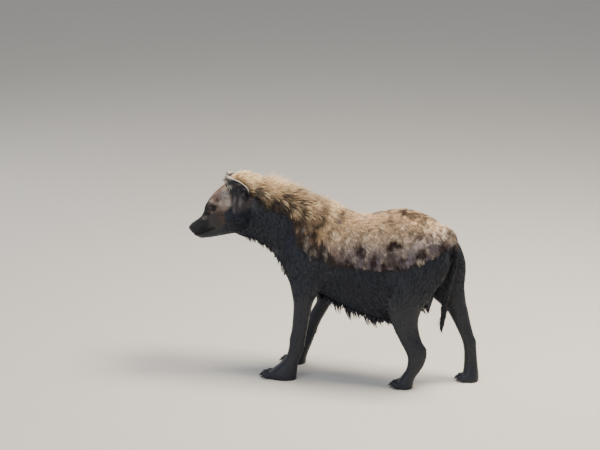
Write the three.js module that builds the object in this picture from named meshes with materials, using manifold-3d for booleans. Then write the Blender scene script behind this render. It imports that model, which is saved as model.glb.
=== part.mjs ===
// A spotted hyena, life size, in millimetres: an adult female that stands on four feet and looks ahead.
// +X is the animal's left, -Y is the way it faces, +Z is up, and the soles lie in the plane z = 0.
// The body is shaped whole from a few rows of sizes, takes its locks of hair, and is then parted
// by thin cuts into the pieces that a person would name.
import * as THREE from "three";
import { mergeVertices } from "three/addons/utils/BufferGeometryUtils.js";
import Module from "manifold-3d";

const wasm = await Module();
wasm.setup();
const { Manifold, Mesh: SolidMesh } = wasm;

// Driving sizes
const gap = 0.3; // between two pieces that touch
const soleLevel = 0;
const trunkSides = 24;
const headSides = 20;
const legSides = 12;
const headYaw = 17; // degrees that the head turns to its left
const headPitch = 18; // degrees that the muzzle points down
const headRoll = -6;
const noseTip = new THREE.Vector3(88, -748, 681);
const eyeRadius = 12;
const eyePlace = { side: 46, back: 132, up: 58 };
const eyeAim = { side: 0.8, back: -0.58, up: 0.12 }; // the way the eye looks
const lidThickness = 3.4;
const lidOpeningRadii = [12, 6.5, 9];
const nosePadRadii = [21, 13, 15];
const nostril = { side: 10, back: -3, up: -12, radii: [4.5, 8, 4] };
const earPlace = { side: 68, back: 282, up: 50 };
const earLength = 126;
const earWidth = 90;
const earDepth = 30;
const earBend = 1.25; // half the angle that the leaf is bent through, in radians
const earThickness = 4.5;
const earTurn = 68; // degrees that the cup's opening turns outward
const earSplay = 14; // degrees that the tip leans outward
const earSweep = 46; // how far forward the tip reaches
const toeCount = 4;
const toeRadii = { side: 13.5, along: 25, up: 17 };
const toeFan = { spread: 23, height: 16, innerAhead: 2, outerBack: 13 };
const clawLength = 24;
const clawRadius = 5;
const clawDroop = 24; // degrees below level
const hairSeed = 11;

// Trunk and neck, tail end first. Each row is one section through the body, laid through a point of the
// back line and a point of the belly line: back y, back z, belly y, belly z, half width,
// share of the height at which it is widest, squareness (2 is an ellipse), sideways shift.
const trunkRows = [
  [470, 690, 468, 640, 18, 0.5, 2, 0],
  [452, 727, 450, 582, 60, 0.5, 2.1, 0],
  [418, 755, 414, 500, 85, 0.52, 2.2, 0],
  [360, 780, 356, 428, 104, 0.54, 2.2, 0],
  [290, 801, 288, 346, 121, 0.5, 2.2, 0],
  [210, 805, 210, 300, 138, 0.46, 2.15, 0],
  [120, 788, 120, 296, 147, 0.45, 2.1, 0],
  [40, 775, 40, 317, 143, 0.47, 2.1, 0],
  [-40, 783, -40, 345, 133, 0.5, 2.1, 0],
  [-120, 798, -120, 374, 123, 0.52, 2.1, 0],
  [-200, 813, -206, 402, 116, 0.52, 2.1, 0],
  [-266, 836, -288, 448, 107, 0.5, 2.1, 0],
  [-330, 854, -324, 506, 98, 0.5, 2.1, 0],
  [-395, 870, -356, 556, 90, 0.5, 2.1, 0],
  [-455, 881, -406, 594, 85, 0.5, 2.1, 2],
  [-505, 893, -468, 622, 82, 0.5, 2.1, 5],
  [-548, 900, -540, 638, 81, 0.5, 2.1, 12],
  [-584, 868, -580, 670, 50, 0.5, 2, 18],
];

// Head, in its own frame with the tip of the nose as origin: distance back, top, underside, half width,
// height of the widest place, squareness.
const headRows = [
  [2, -2, -28, 12, -14, 2],
  [8, 6, -40, 26, -17, 2.3],
  [20, 12, -56, 35, -24, 2.5],
  [42, 18, -72, 40, -28, 2.6],
  [68, 28, -79, 44, -27, 2.5],
  [90, 50, -83, 50, -16, 2.4],
  [112, 76, -86, 58, 0, 2.3],
  [138, 100, -89, 72, 10, 2.2],
  [168, 117, -92, 84, 12, 2.2],
  [202, 131, -96, 90, 10, 2.15],
  [236, 140, -100, 87, 8, 2.1],
  [268, 142, -112, 82, 6, 2.1],
  [300, 132, -122, 76, 4, 2],
  [325, 100, -100, 50, 0, 2],
];

// Legs. Each row is a level section: height, sideways place, front edge, rear edge, half width.
const leftForeRows = [
  [748, 66, -180, -126, 14],
  [715, 76, -225, -108, 32],
  [650, 80, -286, -92, 43],
  [585, 85, -312, -86, 47],
  [520, 91, -298, -90, 47],
  [470, 97, -274, -106, 45],
  [425, 103, -257, -124, 43],
  [375, 106, -248, -150, 39],
  [320, 108, -249, -163, 36],
  [250, 110, -254, -175, 33],
  [180, 112, -264, -188, 32],
  [130, 113, -273, -199, 34],
  [100, 114, -286, -212, 36],
  [74, 115, -309, -220, 37],
  [48, 116, -340, -223, 42],
  [22, 117, -366, -226, 46],
  [2, 117, -372, -228, 45],
  [-8, 117, -368, -230, 43],
];
const rightForeRows = [
  [748, -66, -172, -120, 14],
  [715, -76, -214, -100, 32],
  [650, -80, -270, -80, 43],
  [585, -84, -290, -68, 47],
  [520, -89, -268, -62, 47],
  [470, -93, -244, -66, 45],
  [425, -97, -226, -78, 43],
  [375, -99, -210, -96, 39],
  [320, -101, -196, -115, 36],
  [270, -102, -219, -142, 34],
  [219, -103, -245, -170, 33],
  [168, -104, -266, -192, 32],
  [117, -105, -286, -210, 35],
  [80, -106, -304, -224, 37],
  [48, -106, -322, -236, 42],
  [22, -106, -336, -244, 46],
  [2, -106, -340, -246, 45],
  [-8, -106, -336, -248, 43],
];
const leftHindRows = [
  [742, 48, 320, 400, 14],
  [705, 60, 270, 436, 36],
  [650, 70, 236, 460, 50],
  [585, 77, 214, 464, 55],
  [520, 81, 200, 440, 55],
  [470, 84, 190, 408, 53],
  [420, 86, 184, 378, 50],
  [385, 87, 185, 352, 47],
  [345, 88, 191, 336, 44],
  [305, 88, 206, 332, 40],
  [265, 88, 222, 338, 36],
  [222, 88, 245, 352, 33],
  [181, 88, 267, 372, 30],
  [150, 88, 280, 372, 27],
  [115, 87, 280, 361, 27],
  [85, 86, 272, 344, 28],
  [58, 85, 254, 326, 32],
  [34, 84, 240, 315, 38],
  [12, 83, 230, 311, 42],
  [-8, 83, 228, 308, 40],
];
const rightHindRows = [
  [742, -48, 330, 404, 14],
  [705, -60, 290, 444, 36],
  [650, -70, 268, 477, 50],
  [600, -76, 264, 498, 55],
  [550, -80, 272, 508, 56],
  [500, -83, 288, 507, 54],
  [450, -85, 314, 504, 51],
  [405, -86, 346, 508, 47],
  [365, -87, 384, 514, 43],
  [326, -88, 424, 524, 39],
  [285, -88, 449, 533, 35],
  [240, -89, 472, 545, 32],
  [205, -90, 488, 554, 29],
  [178, -90, 497, 563, 28],
  [140, -90, 503, 567, 27],
  [98, -90, 504, 571, 27],
  [66, -89, 503, 575, 30],
  [38, -89, 500, 578, 38],
  [14, -88, 498, 580, 42],
  [-8, -88, 496, 577, 40],
];

// Tail and udder: place, half width, half depth.
const tailRows = [
  [0, 428, 716, 12, 10],
  [0, 450, 704, 22, 19],
  [2, 470, 672, 23, 20],
  [6, 478, 618, 20, 19],
  [10, 468, 555, 18, 18],
  [12, 452, 490, 17, 17],
  [12, 438, 425, 17, 18],
  [12, 430, 365, 14, 15],
  [11, 424, 310, 9, 9],
  [10, 419, 268, 2, 2],
];
const udderRows = [
  [20, 352, 455, 26, 34],
  [20, 356, 415, 24, 28],
  [20, 357, 385, 16, 19],
  [20, 358, 362, 10, 11],
  [20, 359, 340, 6, 6],
  [20, 359, 334, 2, 2],
];

// Where the pieces part.
const neckCut = { y: -300, z: 640, lean: 16 }; // the plane leans back at the top by this many degrees
const headCut = { back: 246, up: 0, lean: -20 };
const foreCuts = [455, 128];
const hindCuts = [400, 190, 70];
const tailCut = 545;
const mouthLine = [
  [-30, -36],
  [16, -37],
  [60, -42],
  [104, -36],
  [122, -40],
  [176, -66],
  [214, -150],
];
const lipDepth = 4;
const lipHeight = 3;

// Hair in bands of locks. Places count the trunk's rows from the tail end, angles are degrees from the
// back line, and the lie runs to the rear and falls by `fall` degrees. The mane's length changes along
// the neck, and `twist` turns the flat side of its locks towards the flank.
const maneLength = [
  [6, 22],
  [8, 34],
  [9, 45],
  [10, 53],
  [12, 61],
  [14, 62],
  [15.2, 58],
  [16.4, 42],
];
const crest = {
  from: 7.2,
  to: 16.3,
  step: 0.78,
  angles: [-36, -18, 0, 18, 36],
  width: 37,
  thick: 10,
  lift: 58,
  fall: 0,
  twist: 62,
};
const neckSide = {
  from: 9.4,
  to: 15.5,
  step: 0.98,
  angles: [57, 80],
  width: 50,
  thick: 9,
  length: 58,
  lift: 22,
  fall: 38,
};
const backCoat = {
  from: 1.3,
  to: 7,
  step: 0.94,
  angles: [-17, 0, 17],
  width: 48,
  thick: 9,
  length: 50,
  lift: 13,
  fall: 0,
};
const flankCoat = {
  from: 1.5,
  to: 9.3,
  step: 1.2,
  angles: [38, 63, 88],
  width: 68,
  thick: 10,
  length: 64,
  lift: 17,
  fall: 36,
};
const bellyFringe = {
  from: 3.6,
  to: 8.4,
  step: 0.62,
  angles: [-13, 11],
  width: 15,
  thick: 7,
  length: 27,
  lift: 66,
  fall: 0,
};
const throatFringe = {
  from: 11.3,
  to: 15.8,
  step: 0.6,
  angles: [0],
  width: 16,
  thick: 7,
  length: 20,
  lift: 50,
  fall: 0,
};
const tailHair = {
  from: 3.6,
  to: 7.3,
  step: 0.74,
  angles: [40, 150, 270],
  width: 21,
  thick: 7,
  length: 56,
  lift: 12,
  fall: 0,
};

const lockForm = { sink: 9, curl: 0.35, rings: 3 }; // depth of the root, bend of the tip, sections

// Colours of the coat as it dries from the wading line up.
const colours = {
  mud: 0x2f3034,
  sand: 0xb59a7c,
  mane: 0xc29a72,
  nose: 0x17171a,
  eye: 0x1a120c,
  claw: 0x26221f,
};
const rough = { coat: 0.9, wet: 0.55, glossy: 0.2 };

// Small tools

// Turns a mesh into a solid, with its faces outward.
function solidOf(geometry) {
  const bare = geometry.clone();
  bare.deleteAttribute("normal");
  bare.deleteAttribute("uv");
  const merged = mergeVertices(bare, 1e-4);
  const make = () =>
    new Manifold(
      new SolidMesh({
        numProp: 3,
        vertProperties: new Float32Array(merged.attributes.position.array),
        triVerts: new Uint32Array(merged.index.array),
      }),
    );
  const solid = make();
  if (solid.volume() > 0) return solid;
  const order = merged.index.array;
  for (let i = 0; i < order.length; i += 3) {
    [order[i + 1], order[i + 2]] = [order[i + 2], order[i + 1]];
  }
  return make();
}

// Keeps the largest closed surface.
function largest(solid) {
  return solid.decompose().reduce((best, piece) => (piece.volume() > best.volume() ? piece : best));
}

const joined = (solids) => Manifold.union(solids);

// A cubic through each column of the rows, read at any place from 0 to the last row.
function between(rows, spacing, place) {
  const last = rows.length - 1;
  const i = Math.min(Math.floor(place), last - 1);
  const t = place - i;
  const slope = (k, c) => {
    const before = Math.max(k - 1, 0);
    const after = Math.min(k + 1, last);
    return (rows[after][c] - rows[before][c]) / (spacing[after] - spacing[before]);
  };
  const span = spacing[i + 1] - spacing[i];
  return rows[i].map((value, c) => {
    const next = rows[i + 1][c];
    const rise = slope(i, c) * span;
    const fall = slope(i + 1, c) * span;
    const square = t * t;
    const cube = square * t;
    return (
      (2 * cube - 3 * square + 1) * value +
      (cube - 2 * square + t) * rise +
      (3 * square - 2 * cube) * next +
      (cube - square) * fall
    );
  });
}

// A skin drawn over sections. sectionOf turns a row into a section: centre, side and up directions,
// half width, reach up, reach down and squareness.
class Loft {
  constructor(rows, sectionOf, { sides, stops = null, grow = 0 }) {
    const centres = rows.map((row) => sectionOf(row).centre);
    const spacing = [0];
    for (let i = 1; i < rows.length; i++) {
      spacing.push(spacing[i - 1] + Math.max(centres[i].distanceTo(centres[i - 1]), 1));
    }
    this.sectionAt = (place) => sectionOf(between(rows, spacing, place));
    this.last = rows.length - 1;
    this.sides = sides;
    this.grow = grow;
    this.stops = stops ?? rows.map((row, i) => i);
  }

  // A point of the skin: place along the rows, angle from the top towards +X in radians.
  point(place, angle) {
    const s = this.sectionAt(place);
    const across = Math.sin(angle);
    const above = Math.cos(angle);
    const power = 2 / s.square;
    const reach = above > 0 ? s.upward : s.downward;
    const x = Math.sign(across) * Math.abs(across) ** power * (s.width + this.grow);
    const y = Math.sign(above) * Math.abs(above) ** power * (reach + this.grow);
    return s.centre.clone().addScaledVector(s.side, x).addScaledVector(s.up, y);
  }

  // The skin's outward direction, and its directions along the rows and round the section.
  frame(place, angle) {
    const step = 0.02;
    const at = this.point(place, angle);
    const along = this.point(Math.min(place + step, this.last), angle)
      .sub(this.point(Math.max(place - step, 0), angle))
      .normalize();
    const round = this.point(place, angle + step).sub(this.point(place, angle - step)).normalize();
    const out = round.clone().cross(along).normalize();
    if (out.dot(at.clone().sub(this.sectionAt(place).centre)) < 0) out.negate();
    return { at, along, round, out };
  }

  geometry() {
    const points = [];
    for (const place of this.stops) {
      for (let k = 0; k < this.sides; k++) points.push(this.point(place, (2 * Math.PI * k) / this.sides));
    }
    const first = this.sectionAt(0).centre;
    const end = this.sectionAt(this.last).centre;
    const axis = (a, b) => this.sectionAt(a).centre.sub(this.sectionAt(b).centre).normalize();
    first.addScaledVector(axis(0, 0.05), this.grow);
    end.addScaledVector(axis(this.last, this.last - 0.05), this.grow);
    points.push(first, end);
    const order = [];
    const n = this.sides;
    for (let i = 0; i < this.stops.length - 1; i++) {
      for (let k = 0; k < n; k++) {
        const a = i * n + k;
        const b = i * n + ((k + 1) % n);
        order.push(a, b, b + n, a, b + n, a + n);
      }
    }
    const rear = (this.stops.length - 1) * n;
    for (let k = 0; k < n; k++) {
      const next = (k + 1) % n;
      order.push(points.length - 2, next, k, points.length - 1, rear + k, rear + next);
    }
    return new THREE.BufferGeometry().setFromPoints(points).setIndex(order);
  }

  solid() {
    return solidOf(this.geometry());
  }
}

const sideways = new THREE.Vector3(1, 0, 0);

function trunkSection([backY, backZ, bellyY, bellyZ, width, share, square, shift]) {
  const belly = new THREE.Vector3(shift, bellyY, bellyZ);
  const back = new THREE.Vector3(shift, backY, backZ);
  const height = back.distanceTo(belly);
  const up = back.clone().sub(belly).normalize();
  const centre = belly.clone().addScaledVector(up, height * share);
  return {
    centre,
    side: sideways,
    up,
    width,
    upward: height * (1 - share),
    downward: height * share,
    square,
  };
}

function headSection([back, top, under, width, widest, square]) {
  return {
    centre: new THREE.Vector3(0, back, widest),
    side: sideways,
    up: new THREE.Vector3(0, 0, 1),
    width,
    upward: top - widest,
    downward: widest - under,
    square,
  };
}

function legSection([height, x, front, rear, width]) {
  const half = (rear - front) / 2;
  return {
    centre: new THREE.Vector3(x, (front + rear) / 2, height),
    side: sideways,
    up: new THREE.Vector3(0, -1, 0),
    width,
    upward: half,
    downward: half,
    square: 2.15,
  };
}

function hangingSection([x, y, z, width, depth]) {
  return {
    centre: new THREE.Vector3(x, y, z),
    side: sideways,
    up: new THREE.Vector3(0, -1, 0),
    width,
    upward: depth,
    downward: depth,
    square: 2,
  };
}

const radians = THREE.MathUtils.degToRad;

// A straight-line reading of a table of pairs.
function readAt(table, x) {
  const next = Math.max(table.findIndex((pair) => pair[0] > x), 1);
  const [x0, y0] = table[next - 1];
  const [x1, y1] = table[next];
  return y0 + ((y1 - y0) * THREE.MathUtils.clamp(x - x0, 0, x1 - x0)) / (x1 - x0);
}

// Numbers from 0 to 1 that repeat from one run to the next.
function draws(seed) {
  let state = seed;
  return () => {
    state = (state * 1664525 + 1013904223) % 4294967296;
    return state / 4294967296;
  };
}

// All locks of one band on a loft. `centre` is the angle in degrees that the band's angles count from,
// `mirror` repeats them on the other side, and no lock grows within the `bare` places.
function band(loft, look, { seed, centre = 0, mirror = false, grow = 0, bare = [] }) {
  const { from, to, step, angles, width, thick, length, lift, fall, twist = 0 } = look;
  const draw = draws(seed);
  const locks = [];
  const all = mirror ? [...angles, ...angles.map((angle) => -angle)] : angles;
  all.forEach((degrees, row) => {
    for (let place = from + (row % 2 ? step / 2 : 0); place <= to; place += step) {
      const spot = place + (draw() - 0.5) * step * 0.5;
      const angle = radians(centre + degrees + (draw() - 0.5) * 7);
      const { at, along, round, out } = loft.frame(THREE.MathUtils.clamp(spot, 0, loft.last), angle);
      if (bare.some(([place, radius]) => place.distanceTo(at) < radius)) continue;
      const lean = radians(fall * Math.sign(degrees) + (draw() - 0.5) * 16);
      const rearward = loft.rearward ?? -1;
      const lie = along
        .multiplyScalar(rearward * Math.cos(lean))
        .addScaledVector(round, Math.sin(lean))
        .normalize();
      const long = (typeof length === "function" ? length(spot) : length) * (0.88 + 0.24 * draw());
      const wide = width * (0.85 + 0.3 * draw());
      const turned = radians(twist * (0.7 + 0.6 * draw()) * (row % 2 ? 1 : -1));
      const shape = { length: long, width: wide, thick, lift: radians(lift), twist: turned, grow };
      locks.push(lock({ at, out, lie, ...shape }));
    }
  });
  return locks;
}

// A ball stretched to three radii, turned if asked, and set in place.
function ellipsoid(centre, radii, { turn = null, wide = 12, high = 8 } = {}) {
  const ball = new THREE.SphereGeometry(1, wide, high);
  ball.scale(radii[0], radii[1], radii[2]);
  if (turn) ball.applyQuaternion(turn);
  ball.translate(centre.x, centre.y, centre.z);
  return solidOf(ball);
}

// A large block below or in front of a plane: the plane passes through a point, and the block
// lies on the side away from `outward`.
function halfSpace(point, outward, shift = 0, size = 3000) {
  const block = new THREE.BoxGeometry(size, size, size);
  block.translate(0, 0, -size / 2);
  const turn = new THREE.Quaternion().setFromUnitVectors(
    new THREE.Vector3(0, 0, 1),
    outward.clone().normalize(),
  );
  block.applyQuaternion(turn);
  const at = point.clone().addScaledVector(outward.clone().normalize(), shift);
  block.translate(at.x, at.y, at.z);
  return solidOf(block);
}

// A flat tapered lock along a bent path: a ridge over a flat underside. It starts below the skin.
function lock({ at, out, lie, length, width, thick, lift, twist, grow }) {
  const { sink, curl, rings } = lockForm;
  const rise = out.clone().multiplyScalar(Math.sin(lift)).addScaledVector(lie, Math.cos(lift)).normalize();
  const across = rise.clone().cross(out).normalize().applyAxisAngle(rise, twist);
  const face = across.clone().cross(rise).normalize();
  const settle = lie.clone().sub(out.clone().multiplyScalar(0.2)).normalize();
  const points = [];
  for (let i = 0; i < rings; i++) {
    const t = i / rings;
    const middle = at
      .clone()
      .addScaledVector(out, -sink * (1 - t))
      .addScaledVector(rise, length * t)
      .addScaledVector(settle, length * curl * t * t);
    const half = (width / 2) * (1 - 0.55 * t * t) + 2 * grow;
    const deep = (thick / 2) * (1 - 0.5 * t) + 2 * grow;
    points.push(
      middle.clone().addScaledVector(across, half).addScaledVector(face, -deep),
      middle.clone().addScaledVector(face, deep),
      middle.clone().addScaledVector(across, -half).addScaledVector(face, -deep),
    );
  }
  points.push(at.clone().addScaledVector(rise, length + 8 * grow).addScaledVector(settle, length * curl));
  const order = [0, 2, 1];
  for (let i = 0; i < rings - 1; i++) {
    for (let k = 0; k < 3; k++) {
      const a = i * 3 + k;
      const b = i * 3 + ((k + 1) % 3);
      order.push(a, b, b + 3, a, b + 3, a + 3);
    }
  }
  const top = (rings - 1) * 3;
  for (let k = 0; k < 3; k++) order.push(top + k, top + ((k + 1) % 3), points.length - 1);
  return solidOf(new THREE.BufferGeometry().setFromPoints(points).setIndex(order));
}

// Head frame
const headTurn = new THREE.Matrix4()
  .makeRotationZ(radians(headYaw))
  .multiply(new THREE.Matrix4().makeRotationX(radians(headPitch)))
  .multiply(new THREE.Matrix4().makeRotationY(radians(headRoll)));
const headPlace = headTurn.clone().setPosition(noseTip);
const headRotation = new THREE.Quaternion().setFromRotationMatrix(headTurn);
const inHead = (x, back, up) => new THREE.Vector3(x, back, up).applyMatrix4(headPlace);

function moved(solid, matrix) {
  return solid.transform(matrix.elements);
}

// Trunk, neck and head
const trunk = new Loft(trunkRows, trunkSection, { sides: trunkSides });
const fineRows = 7; // of the head, from the nose to behind the eyes
const skullStops = headRows.flatMap((row, i) => (i < fineRows ? [i, i + 0.5] : [i]));
const skullLoft = (grow, stops = skullStops) =>
  new Loft(headRows, headSection, { sides: headSides, stops, grow });

// Legs
const legs = {
  fore_left: {
    rows: leftForeRows,
    cuts: foreCuts,
    names: ["foreleg_left_upper", "foreleg_left_lower", "forepaw_left"],
  },
  fore_right: {
    rows: rightForeRows,
    cuts: foreCuts,
    names: ["foreleg_right_upper", "foreleg_right_lower", "forepaw_right"],
  },
  hind_left: {
    rows: leftHindRows,
    cuts: hindCuts,
    names: ["thigh_left", "shank_left", "hock_left", "hindpaw_left"],
  },
  hind_right: {
    rows: rightHindRows,
    cuts: hindCuts,
    names: ["thigh_right", "shank_right", "hock_right", "hindpaw_right"],
  },
};

// The toes fan out at the front of the paw: inner two ahead of the outer two.
function toePlaces(rows) {
  const sole = rows[rows.length - 2];
  const centreX = sole[1];
  const front = sole[2];
  const places = [];
  for (let i = 0; i < toeCount; i++) {
    const share = i - (toeCount - 1) / 2;
    const ahead = Math.abs(share) < 1 ? toeFan.innerAhead : -toeFan.outerBack;
    places.push(new THREE.Vector3(centreX + share * toeFan.spread, front - ahead, toeFan.height));
  }
  return places;
}

function legSolid(rows, grow) {
  const pieces = [new Loft(rows, legSection, { sides: legSides, grow }).solid()];
  for (const toe of toePlaces(rows)) {
    const radii = [toeRadii.side + grow, toeRadii.along + grow, toeRadii.up + grow];
    pieces.push(ellipsoid(toe, radii, { wide: 6, high: 5 }));
  }
  return joined(pieces);
}

function clawSolid(toe, grow) {
  const cone = new THREE.ConeGeometry(clawRadius + 1.5 * grow, clawLength + 4 * grow, 5);
  cone.rotateX(radians(180 + clawDroop));
  cone.translate(toe.x, toe.y - toeRadii.along - 1, toe.z - 4);
  return solidOf(cone);
}

function tail(grow) {
  const stem = new Loft(tailRows, hangingSection, { sides: 10, grow });
  stem.rearward = 1; // the rows run from the root to the tip, as the hair does
  return joined([stem.solid(), ...band(stem, tailHair, { seed: hairSeed, grow })]);
}
const udder = (grow) => new Loft(udderRows, hangingSection, { sides: 10, grow }).solid();

const nodes = new Map();
const ground = halfSpace(new THREE.Vector3(0, 0, soleLevel), new THREE.Vector3(0, 0, 1));
const cutters = [];
for (const leg of Object.values(legs)) {
  let rest = legSolid(leg.rows, 0).subtract(ground).subtract(tail(gap)).subtract(udder(gap));
  toePlaces(leg.rows).forEach((toe, i) => {
    const name = "claw_" + leg.names[leg.names.length - 1].replace("paw", "") + "_" + (i + 1);
    nodes.set(name, clawSolid(toe, 0).subtract(ground));
    rest = rest.subtract(clawSolid(toe, gap));
  });
  const level = new THREE.Vector3(0, 0, 1);
  leg.cuts.forEach((height, i) => {
    const at = new THREE.Vector3(0, 0, height);
    nodes.set(leg.names[i], largest(rest.subtract(halfSpace(at, level, gap / 2))));
    rest = rest.intersect(halfSpace(at, level, -gap / 2));
  });
  nodes.set(leg.names[leg.cuts.length], largest(rest));
  cutters.push(legSolid(leg.rows, gap));
}

// Head pieces, in the head's own frame

// An ear is a cup: a bent leaf with a wall, narrow at its root, swept forward to its tip, open to the side.
function ear(side, grow) {
  const rows = 5;
  const columns = 7;
  const wall = earThickness + 2 * grow;
  const inner = [];
  const outer = [];
  for (let i = 0; i <= rows; i++) {
    const t = i / rows;
    const widening = 0.6 + 0.4 * Math.sin((Math.PI / 2) * Math.min(t / 0.5, 1));
    const rounding = Math.sqrt(1 - (Math.max(t - 0.35, 0) / 0.66) ** 2);
    const half = (earWidth / 2) * widening * rounding + grow;
    const depth = earDepth * (1 - 0.75 * t);
    for (let k = 0; k <= columns; k++) {
      const across = (2 * k) / columns - 1;
      const angle = across * earBend;
      const edge = Math.cos(earBend);
      const x = (half * Math.sin(angle)) / Math.sin(earBend) - side * earSweep * t * t;
      const back = (depth * (Math.cos(angle) - edge)) / (1 - edge);
      const height = (earLength + grow) * (t - 0.1 * across * across * t) - grow * (1 - t);
      const thin = 1 - 0.45 * t - 0.25 * across * across;
      const away = new THREE.Vector3(Math.sin(angle) * 0.6, Math.cos(angle), 0).normalize();
      const middle = new THREE.Vector3(x, back, height);
      inner.push(middle.clone().addScaledVector(away, (-wall / 2) * thin));
      outer.push(middle.clone().addScaledVector(away, (wall / 2) * thin));
    }
  }
  const across = columns + 1;
  const points = [...inner, ...outer];
  const order = [];
  const quad = (a, b, c, d) => order.push(a, b, c, a, c, d);
  for (let i = 0; i < rows; i++) {
    for (let k = 0; k < columns; k++) {
      const a = i * across + k;
      quad(a, a + 1, a + across + 1, a + across);
      const o = a + inner.length;
      quad(o + 1, o, o + across, o + across + 1);
    }
    const left = i * across;
    const right = left + columns;
    quad(left + across, left + inner.length + across, left + inner.length, left);
    quad(right, right + inner.length, right + inner.length + across, right + across);
  }
  for (let k = 0; k < columns; k++) {
    quad(k, k + inner.length, k + 1 + inner.length, k + 1);
    const top = rows * across + k;
    quad(top + 1, top + 1 + inner.length, top + inner.length, top);
  }
  const leaf = new THREE.BufferGeometry().setFromPoints(points).setIndex(order);
  const place = new THREE.Matrix4()
    .makeTranslation(side * earPlace.side, earPlace.back, earPlace.up)
    .multiply(new THREE.Matrix4().makeRotationY(radians(side * earSplay)))
    .multiply(new THREE.Matrix4().makeRotationZ(radians(side * earTurn)));
  leaf.applyMatrix4(place);
  leaf.applyMatrix4(headPlace);
  return solidOf(leaf);
}

const eyeCentre = (side) => inHead(side * eyePlace.side, eyePlace.back, eyePlace.up);
const eyeLook = (side) =>
  new THREE.Vector3(side * eyeAim.side, eyeAim.back, eyeAim.up).normalize().transformDirection(headPlace);

function eye(side, grow) {
  const size = eyeRadius + grow;
  return ellipsoid(eyeCentre(side), [size, size, size], { wide: 12, high: 7 });
}

// The lids are a shell round the eye with an almond opening toward its look.
function lids(side) {
  const size = eyeRadius + lidThickness;
  return ellipsoid(eyeCentre(side), [size, size, size], { wide: 12, high: 7 });
}

function lidOpening(side) {
  const turn = new THREE.Quaternion().setFromUnitVectors(new THREE.Vector3(0, 0, 1), eyeLook(side));
  const at = eyeCentre(side).addScaledVector(eyeLook(side), eyeRadius);
  return ellipsoid(at, lidOpeningRadii, { turn, wide: 10, high: 5 });
}

// The nose pad with its two nostrils.
function nosePad(grow) {
  const radii = nosePadRadii.map((radius) => radius + grow);
  const pad = ellipsoid(inHead(0, 9, -11), radii, { turn: headRotation, wide: 12, high: 7 });
  if (grow > 0) return pad;
  const holes = [1, -1].map((side) => {
    const at = inHead(side * nostril.side, nostril.back, nostril.up);
    return ellipsoid(at, nostril.radii, { turn: headRotation, wide: 8, high: 6 });
  });
  return pad.subtract(joined(holes));
}

// A block whose outline follows the mouth line, moved by `shift` up and back.
function belowMouth(shift) {
  const line = mouthLine.map(([back, up]) => new THREE.Vector2(back + shift, up + shift));
  const outline = new THREE.Shape(line);
  outline.lineTo(mouthLine[0][0] + shift, -150 + shift);
  const block = new THREE.ExtrudeGeometry(outline, { depth: 300, bevelEnabled: false });
  block.translate(0, 0, -150);
  // The outline is drawn back and up; the block runs from side to side.
  block.applyMatrix4(new THREE.Matrix4().set(0, 0, 1, 0, 1, 0, 0, 0, 0, 1, 0, 0, 0, 0, 0, 1));
  return moved(solidOf(block), headPlace);
}

// The furrow between the lips: a thin band along the mouth line, as deep as the lips are full.
function lipFurrow() {
  const front = mouthLine.slice(0, 4);
  const outline = new THREE.Shape();
  front.forEach(([back, up], i) => {
    if (i === 0) outline.moveTo(back, up + lipHeight / 2);
    else outline.lineTo(back, up + (i === front.length - 1 ? 0 : lipHeight / 2));
  });
  front
    .slice(0, -1)
    .reverse()
    .forEach(([back, up]) => outline.lineTo(back, up - lipHeight / 2));
  const band = new THREE.ExtrudeGeometry(outline, { depth: 300, bevelEnabled: false });
  band.translate(0, 0, -150);
  band.applyMatrix4(new THREE.Matrix4().set(0, 0, 1, 0, 1, 0, 0, 0, 0, 1, 0, 0, 0, 0, 0, 1));
  const inside = skullLoft(-lipDepth, null).solid();
  return moved(solidOf(band).subtract(inside), headPlace);
}

const sides = { left: 1, right: -1 };
const skullAround = moved(skullLoft(gap).solid(), headPlace);
const trunkAround = new Loft(trunkRows, trunkSection, { sides: trunkSides, grow: gap }).solid();
const earRoots = [1, -1].map((side) => [
  inHead(side * earPlace.side, earPlace.back, earPlace.up + 20),
  earWidth * 0.8,
]);
const maneLocks = { ...crest, length: (place) => readAt(maneLength, place) };
const hair = joined([
  ...band(trunk, maneLocks, { seed: hairSeed, bare: earRoots }),
  ...band(trunk, neckSide, { seed: hairSeed + 1, mirror: true, bare: earRoots }),
  ...band(trunk, backCoat, { seed: hairSeed + 2 }),
  ...band(trunk, flankCoat, { seed: hairSeed + 3, mirror: true }),
  ...band(trunk, bellyFringe, { seed: hairSeed + 4, centre: 180 }),
  ...band(trunk, throatFringe, { seed: hairSeed + 5, centre: 180 }),
]);
const freeHair = hair.subtract(ear(1, 5 * gap)).subtract(ear(-1, 5 * gap));
let body = joined([trunk.solid(), moved(skullLoft(0).solid(), headPlace), lids(1), lids(-1), freeHair]);
for (const side of [1, -1]) {
  body = body.subtract(lidOpening(side)).subtract(eye(side, gap));
}
body = body.subtract(nosePad(gap)).subtract(lipFurrow());
for (const cutter of cutters) body = body.subtract(cutter);
body = body.subtract(tail(gap)).subtract(udder(gap));

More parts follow.
